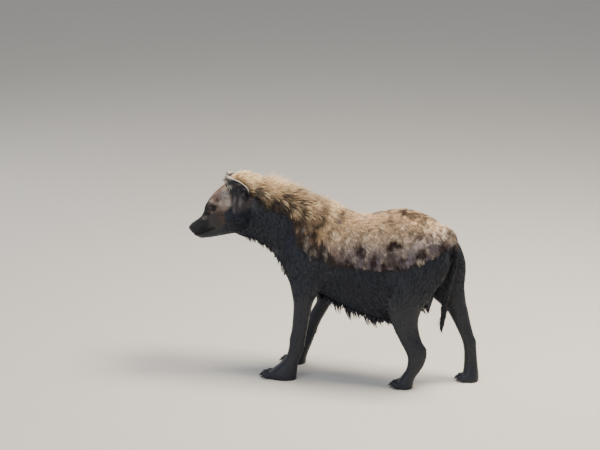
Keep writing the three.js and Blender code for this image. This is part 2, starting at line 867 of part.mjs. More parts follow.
const headNormal = new THREE.Vector3(0, 1, 0)
  .applyAxisAngle(sideways, radians(headCut.lean))
  .transformDirection(headPlace);
const headPoint = inHead(0, headCut.back, headCut.up);
const face = body.intersect(halfSpace(headPoint, headNormal, -gap / 2));
nodes.set("head", largest(face.subtract(belowMouth(gap))));
nodes.set("jaw", largest(face.intersect(belowMouth(0))));
nodes.set("nose", nosePad(0));
for (const [name, side] of Object.entries(sides)) {
  nodes.set("eye_" + name, eye(side, 0));
  nodes.set("ear_" + name, largest(ear(side, 0).subtract(skullAround).subtract(trunkAround)));
}
body = body.subtract(halfSpace(headPoint, headNormal, gap / 2));
const neckNormal = new THREE.Vector3(0, -1, 0).applyAxisAngle(sideways, radians(neckCut.lean));
const neckPoint = new THREE.Vector3(0, neckCut.y, neckCut.z);
nodes.set("torso", largest(body.intersect(halfSpace(neckPoint, neckNormal, -gap / 2))));
nodes.set("neck", largest(body.subtract(halfSpace(neckPoint, neckNormal, gap / 2))));
nodes.set("udder", udder(0));
const wholeTail = tail(0);
const level = new THREE.Vector3(0, 0, 1);
const tailPoint = new THREE.Vector3(0, 0, tailCut);
nodes.set("tail_base", largest(wholeTail.subtract(halfSpace(tailPoint, level, gap / 2))));
nodes.set("tail_brush", largest(wholeTail.intersect(halfSpace(tailPoint, level, -gap / 2))));

// The scene: every piece is a mesh of its own, and those of the head hang in a group that carries its turn.
function materialOf(name) {
  const kind = name.split("_")[0];
  const [color, roughness] = {
    nose: [colours.nose, rough.wet],
    eye: [colours.eye, rough.glossy],
    claw: [colours.claw, rough.wet],
    neck: [colours.mane, rough.coat],
    torso: [colours.sand, rough.coat],
  }[kind] ?? [name === "tail_base" ? colours.sand : colours.mud, rough.wet];
  return new THREE.MeshStandardMaterial({ color, roughness });
}

function partMesh(name, solid, frame) {
  const mesh = solid.getMesh();
  const points = new Float32Array(mesh.numVert * 3);
  for (let i = 0; i < mesh.numVert; i++) {
    points.set(mesh.vertProperties.subarray(i * mesh.numProp, i * mesh.numProp + 3), i * 3);
  }
  const geometry = new THREE.BufferGeometry();
  geometry.setAttribute("position", new THREE.BufferAttribute(points, 3));
  geometry.setIndex(new THREE.BufferAttribute(mesh.triVerts, 1));
  geometry.applyMatrix4(frame.clone().invert());
  geometry.computeVertexNormals();
  const part = new THREE.Mesh(geometry, materialOf(name));
  part.name = name;
  return part;
}

const hyena = new THREE.Group();
const headGroup = new THREE.Group();
headGroup.applyMatrix4(headPlace);
hyena.add(headGroup);
const onHead = /^(head|jaw|nose|eye|ear)/;
for (const [name, solid] of nodes) {
  if (onHead.test(name)) headGroup.add(partMesh(name, solid, headPlace));
  else hyena.add(partMesh(name, solid, new THREE.Matrix4()));
}

// The origin goes to the middle of the floor under the animal.
const bounds = new THREE.Box3().setFromObject(hyena, true);
const middle = bounds.getCenter(new THREE.Vector3());
hyena.position.set(-middle.x, -middle.y, -soleLevel);
export default hyena;
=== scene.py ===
import math
from functools import cache

import bmesh
import bpy
import numpy as np
from mathutils import Matrix, Vector, kdtree


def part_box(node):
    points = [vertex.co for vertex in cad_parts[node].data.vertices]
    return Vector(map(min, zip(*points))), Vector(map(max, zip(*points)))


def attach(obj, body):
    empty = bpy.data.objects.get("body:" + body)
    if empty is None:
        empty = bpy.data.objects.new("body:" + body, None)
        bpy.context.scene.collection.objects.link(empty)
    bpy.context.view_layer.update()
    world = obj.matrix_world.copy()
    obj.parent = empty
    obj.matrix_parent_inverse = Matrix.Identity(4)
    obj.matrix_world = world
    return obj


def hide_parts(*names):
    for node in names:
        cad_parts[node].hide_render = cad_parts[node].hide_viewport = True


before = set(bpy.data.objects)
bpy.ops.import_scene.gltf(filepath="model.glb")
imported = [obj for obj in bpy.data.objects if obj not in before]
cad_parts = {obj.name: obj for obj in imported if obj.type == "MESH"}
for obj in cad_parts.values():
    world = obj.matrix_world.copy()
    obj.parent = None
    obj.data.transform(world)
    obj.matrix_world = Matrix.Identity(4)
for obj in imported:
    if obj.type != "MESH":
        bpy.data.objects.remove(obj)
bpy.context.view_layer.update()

# Sizes are in millimetres in the animal's own frame: +X its left, -Y the way it faces, z = 0 the floor.
head = {"yaw": 17, "pitch": 18, "roll": -6, "noseTip": (88, -748, 681)}
eyes = {"side": 46, "back": 132, "up": 58, "radius": 12}


def smoothStep(low, high, value):
    t = np.clip((value - low) / (high - low), 0, 1)
    return t * t * (3 - 2 * t)


def bell(value, middle, spread):  # 1 in the middle, falling off to both sides
    return np.exp(-(((value - middle) / spread) ** 2))


def between(value, low, high):
    return (value > low) & (value < high)


def each(value, rows):  # the same value for each row
    return np.tile(value, (len(rows), 1))


def blend(first, second, share):
    return first + (second - first) * share


def unit(vectors):
    return vectors / np.maximum(np.linalg.norm(vectors, axis=-1, keepdims=True), 1e-9)


def turnAbout(axis, degrees):
    return np.array(Matrix.Rotation(math.radians(degrees), 3, axis))


headTurn = turnAbout("Z", head["yaw"]) @ turnAbout("X", head["pitch"]) @ turnAbout("Y", head["roll"])


def inHead(points):  # head frame: side, back from the nose tip, up
    return np.asarray(points, float) @ headTurn.T + np.array(head["noseTip"], float)


def toHead(points):
    return (np.asarray(points, float) - np.array(head["noseTip"], float)) @ headTurn


def eyeCentre(side):
    return inHead((side * eyes["side"], eyes["back"], eyes["up"]))


def eyeLook(side):
    look = np.array((side * 0.8, -0.58, 0.12))
    return headTurn @ (look / np.linalg.norm(look))


# From the animal's frame to the row frame, by the place of its left eye
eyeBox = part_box("eye_left")
shift = np.array((eyeBox[0] + eyeBox[1]) / 2) - eyeCentre(1) / 1000


def toRow(points):
    return np.asarray(points, float) / 1000 + shift


def linkObject(name, data):
    thing = bpy.data.objects.new(name, data)
    bpy.context.scene.collection.objects.link(thing)
    return thing


# Ears: thin cups open to the side and swept forward, with folds inside and a rolled rim
ear = {"side": 68, "back": 282, "up": 50, "turn": 68, "splay": 14}
ear |= {"length": 126, "width": 90, "depth": 30, "thick": 3.6, "sweep": 48, "bend": 1.25}
ear |= {"columns": 30, "rows": 36}
# the room of the cup: from front to back, from bottom to top, and its edge
ear |= {"cupBack": (-80, 27), "cupUp": (-40, 110), "cupEdge": (52, 42)}


def earTurned(side):
    return turnAbout("Y", side * ear["splay"]) @ turnAbout("Z", side * ear["turn"])


def inEarCup(points):  # how far points lie inside the opening of either ear
    share = np.zeros(len(points))
    for side in (1, -1):
        local = (toHead(points) - (side * ear["side"], ear["back"], ear["up"])) @ earTurned(side)
        along = np.clip(local[:, 2] / ear["length"], 0, 1)
        across = np.abs(side * local[:, 0] + ear["sweep"] * along**2)
        here = between(local[:, 1], *ear["cupBack"]) & between(local[:, 2], *ear["cupUp"])
        share = np.maximum(share, here * smoothStep(*ear["cupEdge"], across))
    return share


# Camera at the photograph's view
camera = {"azimuth": 106, "elevation": 16, "distance": 9090, "aim": (0, 0, 413)}
camera |= {"lens": 120, "sensor": 36, "farthest": 200}
# the animal stands a little right of and below the middle of the picture
camera |= {"aside": 0.026, "above": -0.0325}


def makeCamera():
    azimuth = math.radians(camera["azimuth"])
    elevation = math.radians(camera["elevation"])
    flat = math.cos(elevation)
    back = np.array((math.sin(azimuth) * flat, -math.cos(azimuth) * flat, math.sin(elevation)))
    right = np.cross(-back, (0, 0, 1))
    right /= np.linalg.norm(right)
    up = np.cross(right, -back)
    ray = -back + camera["aside"] * right + camera["above"] * up
    data = bpy.data.cameras.new("camera")
    data.lens = camera["lens"]
    data.sensor_width = camera["sensor"]
    data.clip_end = camera["farthest"]
    eyePoint = linkObject("camera", data)
    eyePoint.location = toRow(np.array(camera["aim"]) - camera["distance"] * ray)
    eyePoint.rotation_euler = Vector(-back).to_track_quat("-Z", "Y").to_euler()
    bpy.context.scene.camera = eyePoint


makeCamera()
print("camera ready")

# Sections of the body
body = {
    "voxel": 0.00527,
    "smoothRounds": 3,
    "offFloor": 0.4,
    "face": (110, 190, 140),  # how far the finer skin of the face reaches aside, back, and up or down
    "shell": (3, 40),  # steps to a row and sides of the lofts the skin is joined from
    "samples": (6, 48),  # the same for the points that tell where on the body the skin is
    "coatDepth": {"side": 7, "belly": 4, "leg": 3, "head": 2, "teat": 1, "tailShare": 0.55},
    # depth of hair over the skin at the back line, along the trunk's rows
    "backDepth": [2, 5, 9, 8, 7, 7, 10, 11, 13, 17, 25, 25, 26, 28, 30, 30, 26, 12],
    # back y, back z, belly y, belly z, half width, share of the height at which it is widest,
    # squareness, shift to the side
    "trunk": [
        [470, 690, 468, 640, 18, 0.5, 2, 0],
        [452, 727, 450, 582, 60, 0.5, 2.1, 0],
        [418, 755, 414, 500, 85, 0.52, 2.2, 0],
        [360, 780, 356, 428, 104, 0.54, 2.2, 0],
        [290, 801, 288, 346, 121, 0.5, 2.2, 0],
        [210, 805, 210, 300, 138, 0.46, 2.15, 0],
        [120, 788, 120, 296, 147, 0.45, 2.1, 0],
        [40, 775, 40, 317, 143, 0.47, 2.1, 0],
        [-40, 783, -40, 345, 133, 0.5, 2.1, 0],
        [-120, 798, -120, 374, 123, 0.52, 2.1, 0],
        [-200, 813, -206, 402, 116, 0.52, 2.1, 0],
        [-266, 836, -288, 448, 107, 0.5, 2.1, 0],
        [-330, 854, -324, 506, 98, 0.5, 2.1, 0],
        [-395, 870, -356, 556, 90, 0.5, 2.1, 0],
        [-455, 881, -406, 594, 85, 0.5, 2.1, 2],
        [-505, 893, -468, 622, 82, 0.5, 2.1, 5],
        [-548, 900, -540, 638, 81, 0.5, 2.1, 12],
        [-584, 868, -580, 670, 50, 0.5, 2, 18],
    ],
    # in the head frame: back, top, underside, half width, height of the widest place, squareness
    "head": [
        [2, -2, -28, 12, -14, 2],
        [8, 6, -40, 26, -17, 2.3],
        [20, 12, -56, 35, -24, 2.5],
        [42, 18, -72, 40, -28, 2.6],
        [68, 28, -79, 44, -27, 2.5],
        [90, 50, -83, 50, -16, 2.4],
        [112, 76, -86, 58, 0, 2.3],
        [138, 100, -89, 72, 10, 2.2],
        [168, 117, -92, 84, 12, 2.2],
        [202, 131, -96, 90, 10, 2.15],
        [236, 140, -100, 87, 8, 2.1],
        [268, 142, -112, 82, 6, 2.1],
        [300, 132, -122, 76, 4, 2],
        [325, 100, -100, 50, 0, 2],
    ],
    # level sections: height, sideways place, front edge, rear edge, half width
    "foreLeft": [
        [748, 66, -180, -126, 14],
        [715, 76, -225, -108, 32],
        [650, 80, -286, -92, 43],
        [585, 85, -312, -86, 47],
        [520, 91, -298, -90, 47],
        [470, 97, -274, -106, 45],
        [425, 103, -257, -124, 43],
        [375, 106, -248, -150, 39],
        [320, 108, -249, -163, 36],
        [250, 110, -254, -175, 33],
        [180, 112, -264, -188, 32],
        [130, 113, -273, -199, 34],
        [100, 114, -286, -212, 36],
        [74, 115, -309, -220, 37],
        [48, 116, -340, -223, 42],
        [22, 117, -366, -226, 46],
        [2, 117, -372, -228, 45],
        [-8, 117, -368, -230, 43],
    ],
    "foreRight": [
        [748, -66, -172, -120, 14],
        [715, -76, -214, -100, 32],
        [650, -80, -270, -80, 43],
        [585, -84, -290, -68, 47],
        [520, -89, -268, -62, 47],
        [470, -93, -244, -66, 45],
        [425, -97, -226, -78, 43],
        [375, -99, -210, -96, 39],
        [320, -101, -196, -115, 36],
        [270, -102, -219, -142, 34],
        [219, -103, -245, -170, 33],
        [168, -104, -266, -192, 32],
        [117, -105, -286, -210, 35],
        [80, -106, -304, -224, 37],
        [48, -106, -322, -236, 42],
        [22, -106, -336, -244, 46],
        [2, -106, -340, -246, 45],
        [-8, -106, -336, -248, 43],
    ],
    "hindLeft": [
        [742, 48, 320, 400, 14],
        [705, 60, 270, 436, 36],
        [650, 70, 236, 460, 50],
        [585, 77, 214, 464, 55],
        [520, 81, 200, 440, 55],
        [470, 84, 190, 408, 53],
        [420, 86, 184, 378, 50],
        [385, 87, 185, 352, 47],
        [345, 88, 191, 336, 44],
        [305, 88, 206, 332, 40],
        [265, 88, 222, 338, 36],
        [222, 88, 245, 352, 33],
        [181, 88, 267, 372, 30],
        [150, 88, 280, 372, 27],
        [115, 87, 280, 361, 27],
        [85, 86, 272, 344, 28],
        [58, 85, 254, 326, 32],
        [34, 84, 240, 315, 38],
        [12, 83, 230, 311, 42],
        [-8, 83, 228, 308, 40],
    ],
    "hindRight": [
        [742, -48, 330, 404, 14],
        [705, -60, 290, 444, 36],
        [650, -70, 268, 477, 50],
        [600, -76, 264, 498, 55],
        [550, -80, 272, 508, 56],
        [500, -83, 288, 507, 54],
        [450, -85, 314, 504, 51],
        [405, -86, 346, 508, 47],
        [365, -87, 384, 514, 43],
        [326, -88, 424, 524, 39],
        [285, -88, 449, 533, 35],
        [240, -89, 472, 545, 32],
        [205, -90, 488, 554, 29],
        [178, -90, 497, 563, 28],
        [140, -90, 503, 567, 27],
        [98, -90, 504, 571, 27],
        [66, -89, 503, 575, 30],
        [38, -89, 500, 578, 38],
        [14, -88, 498, 580, 42],
        [-8, -88, 496, 577, 40],
    ],
    # hanging sections: place, half width, half depth
    "tail": [
        [0, 428, 716, 12, 10],
        [0, 450, 704, 22, 19],
        [2, 470, 672, 23, 20],
        [6, 478, 618, 20, 19],
        [10, 468, 555, 18, 18],
        [12, 452, 490, 17, 17],
        [12, 438, 425, 17, 18],
        [12, 430, 365, 14, 15],
        [11, 424, 310, 9, 9],
        [10, 419, 268, 2, 2],
    ],
    "legSquare": 2.15,
    "teat": [
        [20, 352, 455, 26, 34],
        [20, 356, 415, 24, 28],
        [20, 357, 385, 16, 19],
        [20, 358, 362, 10, 11],
        [20, 359, 340, 6, 6],
        [20, 359, 334, 2, 2],
    ],
}
toes = {"count": 4, "spread": 23, "height": 16, "radii": (12, 24, 15.5), "innerAhead": 2, "outerBack": 13}
legNames = ("foreLeft", "foreRight", "hindLeft", "hindRight")
loftNames = ("trunk", "head") + legNames + ("tail", "teat")
labelOf = {name: number for number, name in enumerate(loftNames)}


leftward = (1.0, 0.0, 0.0)
forward = (0.0, -1.0, 0.0)


# A section as centre, side and up directions, half width, reach up and down, and squareness
def trunkSections(rows):
    backY, backZ, bellyY, bellyZ, width, share, square, shiftX = rows.T
    belly = np.stack((shiftX, bellyY, bellyZ), 1)
    back = np.stack((shiftX, backY, backZ), 1)
    height = np.linalg.norm(back - belly, axis=1)
    up = (back - belly) / height[:, None]
    centre = belly + up * (height * share)[:, None]
    return centre, each(leftward, rows), up, width, height * (1 - share), height * share, square


def headSections(rows):
    back, top, underside, width, widest, square = rows.T
    centre = inHead(np.stack((np.zeros(len(rows)), back, widest), 1))
    side, up = each(headTurn[:, 0], rows), each(headTurn[:, 2], rows)
    return centre, side, up, width, top - widest, widest - underside, square


def legSections(rows):
    height, aside, front, rear, width = rows.T
    half = (rear - front) / 2
    centre = np.stack((aside, (front + rear) / 2, height), 1)
    square = np.full(len(rows), body["legSquare"])
    return centre, each(leftward, rows), each(forward, rows), width, half, half, square


def hangingSections(rows):
    width, depth = rows[:, 3], rows[:, 4]
    square = np.full(len(rows), 2.0)
    return rows[:, :3], each(leftward, rows), each(forward, rows), width, depth, depth, square


sectionKinds = {"trunk": trunkSections, "head": headSections}
sectionKinds |= {"tail": hangingSections, "teat": hangingSections}


def smoothRows(rows, places, sectionsOf):  # the rows drawn through with a smooth curve
    rows = np.array(rows, float)
    last = len(rows) - 1
    steps = np.linalg.norm(np.diff(sectionsOf(rows)[0], axis=0), axis=1)
    spacing = np.concatenate(([0], np.cumsum(np.maximum(steps, 1))))[:, None]
    before = np.maximum(np.arange(last + 1) - 1, 0)
    after = np.minimum(np.arange(last + 1) + 1, last)
    slopes = (rows[after] - rows[before]) / (spacing[after] - spacing[before])
    i = np.minimum(places.astype(int), last - 1)
    t = (places - i)[:, None]
    span = spacing[i + 1] - spacing[i]
    return (
        (2 * t**3 - 3 * t**2 + 1) * rows[i]
        + (t**3 - 2 * t**2 + t) * slopes[i] * span
        + (3 * t**2 - 2 * t**3) * rows[i + 1]
        + (t**3 - t**2) * slopes[i + 1] * span
    )


def loftGrid(name, stepsPerRow, sides):
    rows = body[name]
    places = np.linspace(0, len(rows) - 1, (len(rows) - 1) * stepsPerRow + 1)
    sectionsOf = sectionKinds.get(name, legSections)
    sections = sectionsOf(smoothRows(rows, places, sectionsOf))
    centre, side, up, width, upward, downward, square = sections
    depth = body["coatDepth"]
    if name == "trunk":
        upward = upward - np.interp(places, np.arange(len(rows)), body["backDepth"])
        width = width - depth["side"]
        downward = downward - depth["belly"]
    elif name == "tail":
        width, upward, downward = (depth["tailShare"] * reach for reach in (width, upward, downward))
    else:
        inset = {"head": depth["head"], "teat": depth["teat"]}.get(name, depth["leg"])
        width, upward, downward = width - inset, upward - inset, downward - inset
    width, upward, downward = (np.maximum(reach, 1) for reach in (width, upward, downward))
    angles = np.linspace(0, 2 * math.pi, sides, endpoint=False)
    power = (2 / square)[:, None]
    across = np.sign(np.sin(angles)) * np.abs(np.sin(angles)) ** power * width[:, None]
    reach = np.where(np.cos(angles) > 0, upward[:, None], downward[:, None])
    above = np.sign(np.cos(angles)) * np.abs(np.cos(angles)) ** power * reach
    points = centre[:, None] + across[..., None] * side[:, None] + above[..., None] * up[:, None]
    return points, places, angles


def ringEdges(ring):
    pairs = zip(ring, ring[1:] + ring[:1])
    return [next(edge for edge in a.link_edges if edge.other_vert(a) is b) for a, b in pairs]


def placeVerts(verts, points):
    for vert, point in zip(verts, points):
        vert.co = point


def drawOut(bm, ring, points):  # draws a ring of points out to the next one
    fresh = bmesh.ops.extrude_edge_only(bm, edges=ringEdges(ring))["geom"]
    fresh = {item for item in fresh if isinstance(item, bmesh.types.BMVert)}
    ring = [next(e.other_vert(v) for e in v.link_edges if e.other_vert(v) in fresh) for v in ring]
    placeVerts(ring, points)
    return ring


def drawShell(bm, rings, closed=True):  # one ring of points drawn out along the others
    ring = bmesh.ops.create_circle(bm, cap_ends=False, segments=len(rings[0]), radius=1)["verts"]
    placeVerts(ring, rings[0])
    if closed:
        bmesh.ops.contextual_create(bm, geom=ringEdges(ring))
    for points in rings[1:]:
        ring = drawOut(bm, ring, points)
    if closed:
        bmesh.ops.contextual_create(bm, geom=ringEdges(ring))


def smoothVerts(bm, verts, factor):
    allWays = {"use_axis_x": True, "use_axis_y": True, "use_axis_z": True}
    bmesh.ops.smooth_vert(bm, verts=verts, factor=factor, **allWays)


def toePlaces(name):
    sole = body[name][-2]
    middle = (toes["count"] - 1) / 2
    places = []
    for i in range(toes["count"]):
        share = i - middle
        ahead = toes["innerAhead"] if abs(share) < 1 else -toes["outerBack"]
        places.append((sole[1] + share * toes["spread"], sole[2] - ahead, toes["height"]))
    return places


def settledMesh(name, bm):  # some operators leave the order of their faces open, so it is settled here
    bm.verts.index_update()
    points = [tuple(vert.co) for vert in bm.verts]
    faces = []
    for face in bm.faces:
        corners = [vert.index for vert in face.verts]
        first = corners.index(min(corners))
        faces.append(corners[first:] + corners[:first])
    bm.free()
    mesh = bpy.data.meshes.new(name)
    mesh.from_pydata(points, [], sorted(faces))
    return mesh


def meshObject(name, bm):
    mesh = bpy.data.meshes.new(name)
    bm.to_mesh(mesh)
    bm.free()
    return linkObject(name, mesh)


def applyModifier(piece):
    graph = bpy.context.evaluated_depsgraph_get()
    finished = bpy.data.meshes.new_from_object(piece.evaluated_get(graph))
    piece.modifiers.clear()
    piece.data = finished


def readArray(items, key, width, kind=np.float32):
    values = np.empty(len(items) * width, kind)
    items.foreach_get(key, values)
    return values.reshape(-1, width)


def pointsOf(mesh):  # in the animal's frame
    return (readArray(mesh.vertices, "co", 3).astype(float) - shift) * 1000


def normalsOf(mesh):
    return readArray(mesh.vertex_normals, "vector", 3).astype(float)


def setPoints(mesh, points):
    mesh.vertices.foreach_set("co", toRow(points).astype(np.float32).ravel())


def setShare(mesh, name, values):
    mesh.attributes.new(name, "FLOAT", "POINT").data.foreach_set("value", values.astype(np.float32))


# Gives a piece smooth shading, its finish and its body, and hides the solids it stands for
def finishPiece(piece, material, slot, *nodes):
    piece.data.polygons.foreach_set("use_smooth", np.ones(len(piece.data.polygons), bool))
    piece.data.materials.append(material)
    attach(piece, "root")
    if nodes:
        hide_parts(*nodes)


def blobNoise(points, size, seed):  # soft noise from -1 to 1, with blobs of about that size
    spots = points / size + seed * 17.3
    cell = np.floor(spots).astype(np.int64)
    t = spots - cell
    t = t * t * (3 - 2 * t)
    total = np.zeros(len(points))
    for corner in np.ndindex(2, 2, 2):
        at = cell + corner
        mixed = at[:, 0] * 73856093 ^ at[:, 1] * 19349663 ^ at[:, 2] * 83492791 ^ (seed * 2654435761)
        mixed = (mixed ^ (mixed >> 13)) * 1274126177 & 0x7FFFFFFF
        weight = np.prod(np.where(corner, t, 1 - t), axis=1)
        total += weight * (((mixed >> 8) % 65536) / 32767.5 - 1)
    return total


# Raised and hollowed forms, made on both sides: place, radii, height. Those of the head stand in its
# own frame.
forms = {
    "head": [
        ((38, 118, 84), (20, 20, 14), 7.0),  # brow
        ((12, 104, 64), (16, 20, 16), 5.0),  # bridge between the eyes
        ((58, 158, 50), (16, 34, 14), 3.0),  # rim behind the eye
        ((50, 116, 40), (14, 16, 10), -5.0),  # tear hollow under and before the eye
        ((70, 172, 34), (16, 40, 11), 4.5),  # cheek bone
        ((74, 190, 76), (18, 36, 24), -4.5),  # temple
        ((82, 205, -30), (26, 44, 34), 6.0),  # chewing muscle
        ((50, 98, -14), (12, 24, 16), -5.0),  # hollow behind the whisker pad
        ((38, 46, -34), (20, 26, 17), 3.5),  # whisker pad
        ((30, 72, 26), (10, 30, 10), 2.0),  # bridge of the nose
        ((0, 112, 78), (9, 28, 16), -4.0),  # furrow between the eyes
        ((0, 30, -70), (22, 18, 12), 3.0),  # chin
        ((22, 10, -22), (9, 8, 9), -2.5),  # beside the nose pad
    ],
    # in the animal's frame, on both sides
    "body": [
        ((82, -262, 560), (40, 46, 44), 7.0),  # point of the shoulder
        ((96, -190, 690), (30, 26, 70), 5.0),  # ridge of the shoulder blade
        ((96, -120, 650), (30, 30, 60), -5.0),  # behind the blade
        ((100, -255, 660), (26, 24, 60), -3.5),  # before the blade
        ((112, -100, 470), (26, 34, 30), 6.0),  # elbow
        ((130, 215, 545), (34, 44, 46), -8.0),  # flank hollow
        ((74, 300, 770), (24, 30, 22), 4.0),  # hip bone
        ((100, 330, 600), (28, 40, 70), 5.0),  # thigh muscle
        ((96, 415, 560), (24, 20, 80), -4.0),  # groove behind the thigh muscle
        ((60, -330, 600), (30, 50, 26), -5.0),  # throat groove
    ],
    # those of the legs: height, place and reach up the leg, place and reach round it from its front
    "hind": [
        (-6.5, 262, 46, 118, 26),  # hollow before the tendon of the heel
        (4, 196, 16, 180, 40),  # heel
        (4, 396, 30, 10, 50),  # knee
        (-3, 345, 22, 60, 40),  # under the knee
        (-2.5, 115, 40, 125, 25),  # groove of the foot's tendons
        (2.2, 180, 18, 70, 30),  # side of the hock
    ],
    "fore": [
        (5, 452, 22, 180, 40),  # point of the elbow
        (3, 200, 24, 20, 60),  # wrist
        (-3.2, 300, 70, 125, 24),  # groove along the forearm
        (3, 410, 40, 40, 45),  # muscle of the forearm
        (-2.5, 140, 26, 120, 30),  # groove of the foot's tendons
        (3, 160, 14, 180, 26),  # pad behind the wrist
    ],
    "ribs": {"height": 1.5, "spacing": 34, "slant": 0.35}
    | {"from": -70, "to": 190, "level": 520, "reach": 110},
}


mouth = {
    "back": (-30, 16, 60, 104, 122, 176),
    "up": (-36, -37, -42, -36, -40, -66),
    "corner": 112,
    "depth": 4.2,
    "width": 3.0,
    "lip": 1.8,
}


def awayFrom(points, place, radii):  # from a place or its mirror image, whichever is near, in its radii
    return (np.stack((np.abs(points[:, 0]), points[:, 1], points[:, 2]), 1) - place) / radii


def swelling(points, place, radii):
    return np.exp(-(awayFrom(points, place, radii) ** 2).sum(1))


def isPart(labels, *names):
    return np.isin(labels, [labelOf[name] for name in names])


def shapeHead(points, normals, weight):
    local = toHead(points)
    amount = np.zeros(len(points))
    for place, radii, height in forms["head"]:
        amount += height * swelling(local, place, radii)
    # the line of the mouth, the upper lip that hangs over it, and the lower lip
    back = local[:, 1]
    below = local[:, 2] - np.interp(back, mouth["back"], mouth["up"])
    inMouth = smoothStep(-2, 8, back) * smoothStep(mouth["corner"] + 8, mouth["corner"] - 10, back)
    amount -= mouth["depth"] * inMouth * bell(below, 0, mouth["width"])
    amount += mouth["lip"] * inMouth * bell(below, 7, 6)
    amount += mouth["lip"] * 0.6 * inMouth * bell(below, -8, 6)
    return points + normals * (amount * weight)[:, None]


def shapeBody(points, normals, labels):
    amount = np.zeros(len(points))
    for place, radii, height in forms["body"]:
        amount += height * swelling(points, place, radii) * ~isPart(labels, "head")
    ribs = forms["ribs"]
    y, up = points[:, 1], points[:, 2] - ribs["level"]
    inRibs = smoothStep(ribs["from"] - 20, ribs["from"] + 20, y)
    inRibs = inRibs * smoothStep(ribs["to"] + 30, ribs["to"] - 30, y) * isPart(labels, "trunk")
    inRibs = inRibs * bell(up, 0, ribs["reach"])
    slant = y + ribs["slant"] * up
    amount += ribs["height"] * np.sin(2 * math.pi * slant / ribs["spacing"]) * inRibs
    return points + normals * amount[:, None]


def shapeLegs(points, normals, labels, angles):
    amount = np.zeros(len(points))
    turned = np.degrees(np.abs(angles))
    for pair in ("hind", "fore"):
        here = isPart(labels, pair + "Left", pair + "Right")
        for height, up, upReach, turn, turnReach in forms[pair]:
            amount += here * height * bell(points[:, 2], up, upReach) * bell(turned, turn, turnReach)
    return points + normals * amount[:, None]


def surfaceSamples():  # where each loft's skin lies, which way it runs and where on the loft that is
    samples = {key: [] for key in ("points", "along", "round", "label", "place", "angle")}
    for name in loftNames:
        points, places, angles = loftGrid(name, *body["samples"])
        signed = np.where(angles > math.pi, angles - 2 * math.pi, angles)
        samples["points"].append(points.reshape(-1, 3))
        samples["along"].append(np.gradient(points, axis=0).reshape(-1, 3))
        samples["round"].append((np.roll(points, -1, 1) - np.roll(points, 1, 1)).reshape(-1, 3))
        samples["label"].append(np.full(points.shape[0] * points.shape[1], labelOf[name]))
        samples["place"].append(np.repeat(places, len(angles)))
        samples["angle"].append(np.tile(signed, len(places)))
    samples = {key: np.concatenate(value) for key, value in samples.items()}
    for key in ("along", "round"):
        samples[key] /= np.maximum(np.linalg.norm(samples[key], axis=1), 1e-6)[:, None]
    return samples


def nearest(points, targets):
    tree = kdtree.KDTree(len(targets))
    for i, target in enumerate(targets):
        tree.insert(target, i)
    tree.balance()
    return np.array([tree.find(point)[1] for point in points])


def makeSkin():
    bm = bmesh.new()
    for name in loftNames:
        points = loftGrid(name, *body["shell"])[0]
        drawShell(bm, [[tuple(p) for p in ring] for ring in toRow(points)])
    for name in legNames:
        for toe in toePlaces(name):
            radii = (r / 1000 for r in toes["radii"])
            place = Matrix.Translation(toRow(toe)) @ Matrix.Diagonal((*radii, 1))
            bmesh.ops.create_uvsphere(bm, u_segments=16, v_segments=12, radius=1, matrix=place)
    bmesh.ops.recalc_face_normals(bm, faces=bm.faces)
    skin = meshObject("skin", bm)
    remesh = skin.modifiers.new("join", "REMESH")
    remesh.mode = "VOXEL"
    remesh.voxel_size = body["voxel"]
    applyModifier(skin)
    bm = bmesh.new()
    bm.from_mesh(skin.data)
    for _ in range(body["smoothRounds"]):
        smoothVerts(bm, bm.verts, 0.5)
    # the face is divided once more
    points = toHead(np.array([(vert.co - Vector(shift)) * 1000 for vert in bm.verts]))
    side, back, up = body["face"]
    fine = (points[:, 1] < back) & (np.abs(points[:, 0]) < side) & (np.abs(points[:, 2]) < up)
    bm.verts.ensure_lookup_table()
    edges = [edge for edge in bm.edges if fine[edge.verts[0].index] and fine[edge.verts[1].index]]
    bmesh.ops.subdivide_edges(bm, edges=edges, cuts=1, use_grid_fill=True)
    inFace = [vert for vert in bm.verts if vert.index < 0 or vert.index >= len(fine)]
    smoothVerts(bm, inFace, 0.5)
    bm.to_mesh(skin.data)
    bm.free()
    skin.data.update()
    print("skin joined:", len(skin.data.vertices), "points")
    return skin


# Where the coat is dry. Above this line, read along the body, the hair has dried; below, it is wet.
wading = {
    "y": (-640, -508, -459, -401, -340, -292, -259, -217, -140, -68)
    + (52, 120, 189, 257, 324, 369, 413, 458, 520),
    "z": (846, 846, 836, 806, 800, 781, 723, 637, 604, 580)
    + (576, 573, 574, 584, 609, 631, 657, 684, 700),
    "ragged": 12,
    "soft": {"y": (-500, -400, -160, -60), "reach": (12, 28, 24, 9)},
    "dampDepth": {
        "y": (-600, -480, -400, -320, -290, -259, -217, -152, -110, -50, 20, 200),
        "depth": (14, 18, 26, 32, 50, 112, 205, 190, 118, 52, 24, 16),
    },
    # on the head, the line runs down from the ear to the corner of the mouth: height and distance back
    "faceUp": (-60, -28, 24, 45, 95, 134, 170),
    "faceBack": (118, 166, 186, 214, 236, 262, 290),
    "chin": (-54, -40),
}

